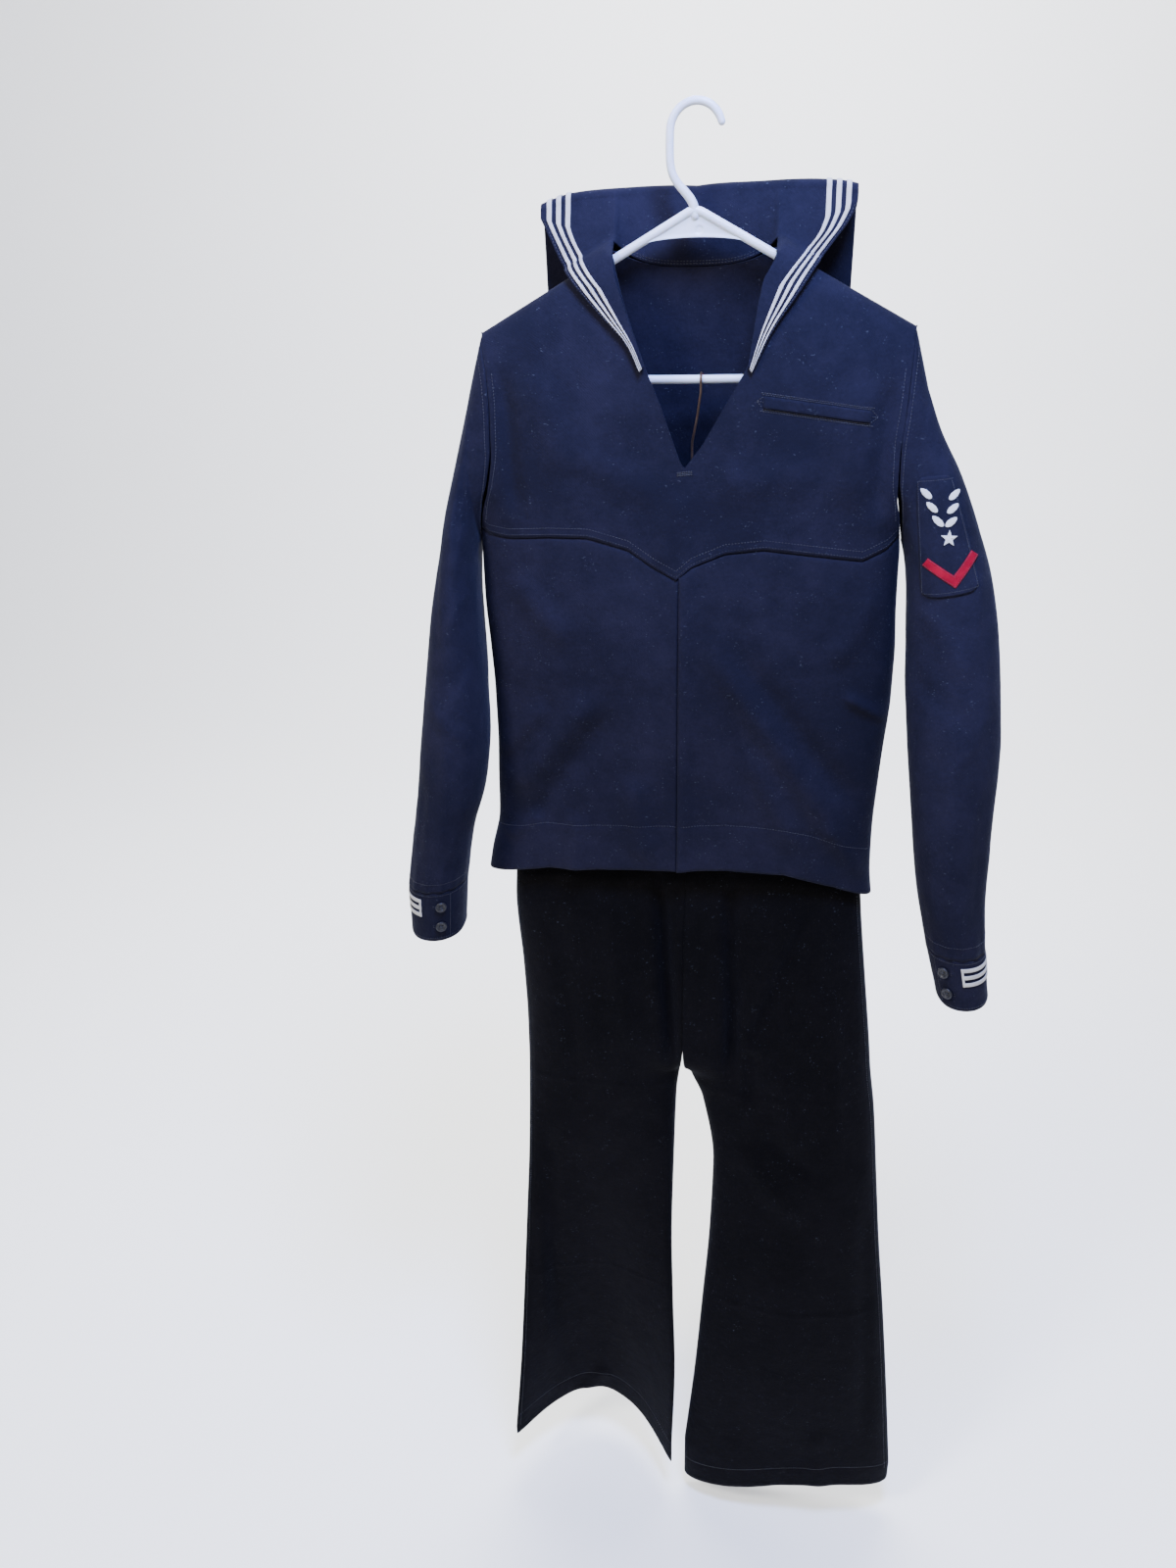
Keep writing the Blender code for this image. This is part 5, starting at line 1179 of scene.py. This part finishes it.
# trousers
trousers = {
    "waist": -742 * mm, "crotch": -1045 * mm, "bandHigh": 38 * mm, "bandY": -3 * mm,
    "hemStitch": 38 * mm, "foldHeight": 2.0,
    "left": {"rows": [  # z, outer, inner, middle y, half depth, crescent
        (-742, -200, -0.2, -3, 12, 0), (-790, -204, -0.2, -3, 28, 0), (-830, -206, -0.2, -3, 36, 0),
        (-920, -201, -0.2, -4, 41, 0), (-1000, -199, -0.2, -6, 42, 0), (-1045, -199, -3, -9, 41, 3),
        (-1100, -200, -9, -14, 38, 8), (-1200, -203, -11, -26, 34, 18), (-1300, -208, -12, -40, 30, 34),
        (-1420, -215, -9, -52, 26, 54), (-1560, -225, -5, -60, 22, 76), (-1700, -238, -8, -66, 18, 94)],
        "hem": [(0.0, -1716), (0.25, -1702), (0.5, -1694), (0.75, -1705), (1.0, -1738)]},
    "right": {"rows": [
        (-742, 196, 0.2, -3, 12, 0), (-790, 200, 0.2, -3, 28, 0), (-830, 204, 0.2, -4, 36, 0),
        (-920, 215, 0.2, -6, 42, 0), (-1000, 225, 0.2, -8, 44, 0), (-1045, 230, 3, -10, 44, 0),
        (-1100, 238, 24, -14, 42, 0), (-1200, 248, 40, -22, 40, -2), (-1300, 258, 38, -31, 38, -3),
        (-1420, 272, 31, -41, 36, -4), (-1560, 287, 22, -48, 34, -5), (-1700, 301, 10, -52, 32, -6)],
        "hem": [(0.0, -1730), (0.25, -1722), (0.5, -1730), (0.75, -1752), (1.0, -1770)]},
    "deepFolds": [  # x at the top, x at the bottom, z top, z bottom, depth, half width
        (-30, -12, -770, -1050, 14, 9), (52, 62, -770, -1070, 13, 9), (150, 82, -800, -1000, 9, 12)],
    "frontFolds": [  # x, z to x, z, height, half width
        (82, -995, 84, -1090, -3.0, 9), (80, -800, 40, -1150, -1.6, 9), (-95, -790, -60, -1040, 1.8, 16),
        (-150, -800, -130, -1120, -1.5, 12), (170, -900, 196, -1180, 1.8, 14),
        (110, -1010, 150, -1160, 1.6, 16),
        (-60, -1060, -150, -1200, 1.8, 13), (-30, -1110, -100, -1230, -1.5, 11),
        (-172, -1120, -176, -1560, -2.4, 11), (-186, -1250, -190, -1640, 1.6, 9),
        (-60, -1220, -70, -1640, 1.6, 22),
        (60, -1140, 160, -1260, 1.6, 14), (90, -1120, 190, -1200, -1.3, 12), (140, -1260, 160, -1700, 2.0, 24),
        (235, -1180, 262, -1690, -1.6, 12), (95, -1350, 80, -1690, -1.6, 18),
        (-110, -1640, -150, -1710, 1.8, 13),
        (190, -1600, 205, -1750, 1.5, 16)],
    "creaseLines": [-1072, -1402]}
# the back has the later folds, a little lower and wider
trousers["backFolds"] = [(a, b, c - 20 * (c > 0), d, h * 0.8, w * 1.2)
                         for a, b, c, d, h, w in trousers["frontFolds"][4:]]


def legAt(which, u, z, face):
    # an eased run from the outer to the inner side, a flattened oval in depth, bent to a crescent
    # where the leg hangs folded, and joined with the other leg above the crotch
    outer, inner, middle, half, crescent = smoothTable(trousers[which]["rows"], z)
    spread = -np.cos(math.pi * u)
    x = outer + (inner - outer) * (1 + spread) / 2
    both = ease((z - (trousers["crotch"] - 15 * mm)) / (60 * mm))
    pinched = np.where(u > 0.5, spread * (1 - both), spread)
    profile = np.maximum(0.0, 1 - np.abs(pinched) ** 2.4) ** 0.42
    y = middle + face * half * profile + crescent * (1 - spread ** 2)
    soft = (1.3 * mm * softNoise(x * 10 + 9, z * 6, 51 + face) + 0.4 * mm * softNoise(x * 34, z * 26, 55 + face)
            + 0.2 * mm * softNoise(x * 95, z * 80, 58 + face))
    if face < 0:
        for topX, lowX, topZ, lowZ, deep, wide in trousers["deepFolds"]:
            share = (topZ * mm - z) / ((topZ - lowZ) * mm)
            ends = np.where((share > 0) & (share < 1), np.maximum(0.0, 1 - (2 * share - 1) ** 4), 0.0)
            line = (topX + (lowX - topX) * share) * mm
            y = y + deep * mm * ends * hill((x - line) / (wide * mm)) * profile
        soft = soft + trousers["foldHeight"] * creases(x, z, trousers["frontFolds"])
        for level in trousers["creaseLines"]:
            sag = level * mm + 3 * mm * softNoise(x * 9, 0 * x, 60)
            soft = soft + 0.8 * mm * hill((z - sag) / (2.2 * mm))
    else:
        soft = soft + creases(x, z, trousers["backFolds"])
    return np.stack([x, y + face * soft * ease(profile * 1.7 - 0.3), z], axis=-1)


def legHem(which, u):
    table = np.array(trousers[which]["hem"], float)
    return cubicRows(table, table[:, 0], (1 - np.cos(math.pi * u)) / 2)[1] * mm


def makeLeg(which):
    for face, where in ((-1, "front"), (1, "back")):
        out = ahead * -face
        u = run(steps(64)).T
        hem = legHem(which, u)
        u, z = np.broadcast_arrays(u, trousers["waist"] + (hem - trousers["waist"]) * run(steps(250)))
        grid = legAt(which, u, z, face)
        up, side = z - hem, np.abs(grid[..., 0] - grid[:, :1, 0])
        drawn = (0.5 * mm * hill((up - trousers["hemStitch"]) / (1.2 * mm)) + 0.6 * mm * hill(up / (1.8 * mm))
                 + 0.5 * mm * hill((side - 7 * mm) / (1.4 * mm)))
        grid[..., 1] += face * (0.3 * mm - drawn)
        node = f"trousers_{where}_{which}"
        piece = shell(f"{where}Leg{which.title()}", f"{node} {node}_leg", grid, cloth["thick"], "trousers", out)
        u, z = np.linspace(0.04, 0.96, 260), np.linspace(-0.8, -1.70, 500)
        hemRun = legAt(which, u, legHem(which, u) + trousers["hemStitch"], face) + out * 0.5 * mm
        sideRun = legAt(which, np.full(500, 0.1), z, face) + out * 0.4 * mm
        leaning = out + np.array([-0.4 if which == "left" else 0.4, 0, 0])
        stitched = threads(f"{where}LegStitches{which.title()}", [(hemRun, out), (sideRun, leaning)],
                           pitch=3.4 * mm)
    print("trouser leg,", which)


def makeWaistband():
    # the band follows both legs' tops and closes in towards the clips
    u = np.linspace(0, 1, steps(50))
    around = [legAt(which, order, np.full(order.shape, trousers["waist"]), face) for which, face, order in
              (("left", -1, u[1:]), ("right", -1, u[::-1][1:]), ("right", 1, u[1:]), ("left", 1, u[::-1][1:]))]
    share, middle = run(steps(22)), trousers["bandY"]
    grid = np.repeat(np.concatenate(around)[None], len(share), axis=0)
    grid[..., 1] = middle + (grid[..., 1] - middle) * (1 - 0.55 * share)
    grid[..., 2] = trousers["waist"] + 0.4 * mm + trousers["bandHigh"] * share
    out = (grid - np.array([0, middle, 0])) * np.array([0.1, 1, 0])
    piece = shell("waistband", "trousers_waistband", grid, cloth["thick"], "trousers", out, closed=True)
    runs = [(grid[k] - np.sign(out[k]) * ahead * 0.2 * mm, unit(out[k])) for k in (2, -3)]
    threads("waistStitches", runs)


makeWaistband()
makeLeg("left")
makeLeg("right")


# the hangers
stem = {"top": [(-6, -3.1), (0, -1.2), (6, -3.1)],  # where the two arms meet, below the arms' own top
        "shank": [(-24.0, -34), (-23.6, -46), (-21.6, -55), (-17.2, -62), (-11, -68.5), (-5, -75), (-1.2, -81),
                  (0, -90)], "tip": 15}


def flatLine(pairs, down=0.0):
    # points in the hanger's own plane from a table of x and z
    pairs = np.array(pairs, float) * mm
    return np.stack([pairs[:, 0], 0 * pairs[:, 0], pairs[:, 1] + down], 1)


def arc(radius, degrees, x, z):
    a = np.radians(degrees)
    return np.stack([x + radius * np.cos(a), 0 * a, z + radius * np.sin(a)], 1)


def sweep(path, radius, closed=False):
    # a round section carried along a path in the hanger's own plane
    along = unit((np.roll(path, -1, 0) - np.roll(path, 1, 0)) if closed else np.gradient(path, axis=0))
    side = np.stack([-along[:, 2], 0 * along[:, 0], along[:, 0]], 1)
    turn = np.linspace(0, 2 * math.pi, hangerFrame["sides"] + 1)[:-1][None, :, None]
    r = np.broadcast_to(np.asarray(radius, float), (len(path),))[:, None, None]
    return path[:, None] + r * (np.cos(turn) * side[:, None] + np.sin(turn) * np.array([0, 1.0, 0]))


def roundEnds(grid, path):
    # closes both ends of a swept section with small domes
    tips = []
    for end, beside in ((0, 1), (-1, -2)):
        away, ring = unit(path[end] - path[beside]), grid[end] - path[end]
        r = np.linalg.norm(ring[0])
        tips.append(np.array([path[end] + ring * math.cos(a) + away * r * math.sin(a)
                              for a in np.radians((25, 50, 72, 89.5))]))
    return np.concatenate([tips[0][::-1], grid, tips[1]])


def tube(grid, loop=False):
    # corners, faces and coordinates of a swept section, joined to its own start for a loop
    rows, columns = grid.shape[:2]
    quads = gridQuads(rows + loop, columns, closed=True) % (rows * columns)
    points = grid.reshape(-1, 3)
    middles = np.repeat(grid.mean(axis=1), columns, axis=0)
    quads = outward(points, quads, middles[quads[:, 0]])
    return points, quads, points[quads.ravel()][:, [0, 2]]


def evenSteps(path, gap, closed=False):
    line = np.concatenate([path, path[:1]]) if closed else path
    far = lengths(line)
    at = np.linspace(0, far[-1], int(far[-1] / gap) + 1)
    made = np.stack([np.interp(at, far, line[:, k]) for k in range(3)], 1)
    return made[:-1] if closed else made


def webPlate(h):
    # the plate between the arms: an arch below, a raised rim, and a round dimple
    half = h["webHalf"]
    u, v = np.linspace(-1, 1, steps(90))[None, :], run(steps(26))
    x = u * half + 0 * v
    topZ = h["armTop"] - h["slope"] * np.abs(x) + 1.0 * mm
    lowZ = h["armTop"] - h["slope"] * half - 3 * mm + 8 * mm * np.sqrt(np.maximum(0, 1 - u ** 2)) + 0 * v
    z = topZ + (np.minimum(lowZ, topZ - 0.6 * mm) - topZ) * v
    raised = 0.9 * mm * hill((z - lowZ) / (2.4 * mm)) + 0.5 * mm * hill((topZ - z - 5 * mm) / (3 * mm))
    dimple = 0.8 * mm * ease((4.2 * mm - np.hypot(x - 4 * mm, z + 102 * mm)) / (1.4 * mm))
    half = 1.35 * mm + raised - dimple
    points, faces = between(np.stack([x, -half, z], axis=2), np.stack([x, half, z], axis=2))
    return points, faces, points[faces.ravel()][:, [0, 2]]


def makeHanger():
    h = hangerFrame
    bendZ = h["bar"] + h["bend"]
    bendX = (h["armTop"] - bendZ - h["bend"] * math.hypot(1, h["slope"])) / h["slope"]
    right = arc(h["bend"], np.linspace(90 - math.degrees(math.atan(h["slope"])), -90, 24), bendX, bendZ)
    left = (right * np.array([-1, 1, 1]))[::-1]
    loop = evenSteps(np.concatenate([flatLine(stem["top"], h["armTop"]), right, left]), 4 * mm, closed=True)
    hook = arc(h["hook"] + h["stem"], np.linspace(stem["tip"], 180, 60), 0, -h["hook"])
    path = evenSteps(np.concatenate([hook, flatLine(stem["shank"])]), 1.6 * mm)
    for turn in range(6):                     # eases the joins of the shank's short runs
        path[1:-1] = path[:-2] * 0.25 + path[1:-1] * 0.5 + path[2:] * 0.25
    far = np.linspace(0, 1, len(path))
    radius = h["stem"] * (1 + 0.10 * ease((far - 0.7) * 4) - 0.10 * ease(1 - far * 14))
    parts = [tube(sweep(loop, h["tube"], closed=True), loop=True), tube(roundEnds(sweep(path, radius), path)),
             webPlate(h)]
    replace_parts(makeMesh("hangerMoulding", *joined(parts), "plastic"), "hanger")
    plain = {"trouser_hanger": "wire", "trouser_clip_left": "clip", "trouser_clip_right": "clip"}
    for node, look in plain.items():
        for place in bpy.data.objects[node].material_slots:
            place.material = looks[look].material
    print("hangers")


makeHanger()


# floor and back wall
room = {"floor": -1.80, "front": -4.5, "back": 2.6, "half": 6.5, "high": 4.5, "sweep": 1.2, "columns": 9}


def makeRoom():
    # a flat floor that turns up into a back wall through a quarter circle
    r, columns = room, room["columns"]
    a = np.radians(np.linspace(-90, 0, 24))
    y = np.r_[r["front"], r["back"] + r["sweep"] * np.cos(a), r["back"] + r["sweep"]]
    z = np.r_[r["floor"], r["floor"] + r["sweep"] + r["sweep"] * np.sin(a), r["high"]]
    x = np.linspace(-r["half"], r["half"], columns)
    points = np.stack(np.broadcast_arrays(x, y[:, None], z[:, None]), axis=2)
    look = Look("paleRoom", None, {"Specular IOR Level": 0.2, "Roughness": 0.9})
    tone = look.noise(1.3)
    look.finish(look.mix(tone, (0.92, 0.924, 0.93), (0.945, 0.948, 0.952)), tone * 0.1 + 0.85,
                look.bump(tone, 0.0))
    mesh = bpy.data.meshes.new("paleRoom")
    mesh.from_pydata(points.reshape(-1, 3).tolist(), [], gridQuads(len(y), columns).tolist())
    mesh.shade_smooth()
    mesh.materials.append(look.material)
    addObject("paleRoom", mesh)


makeRoom()
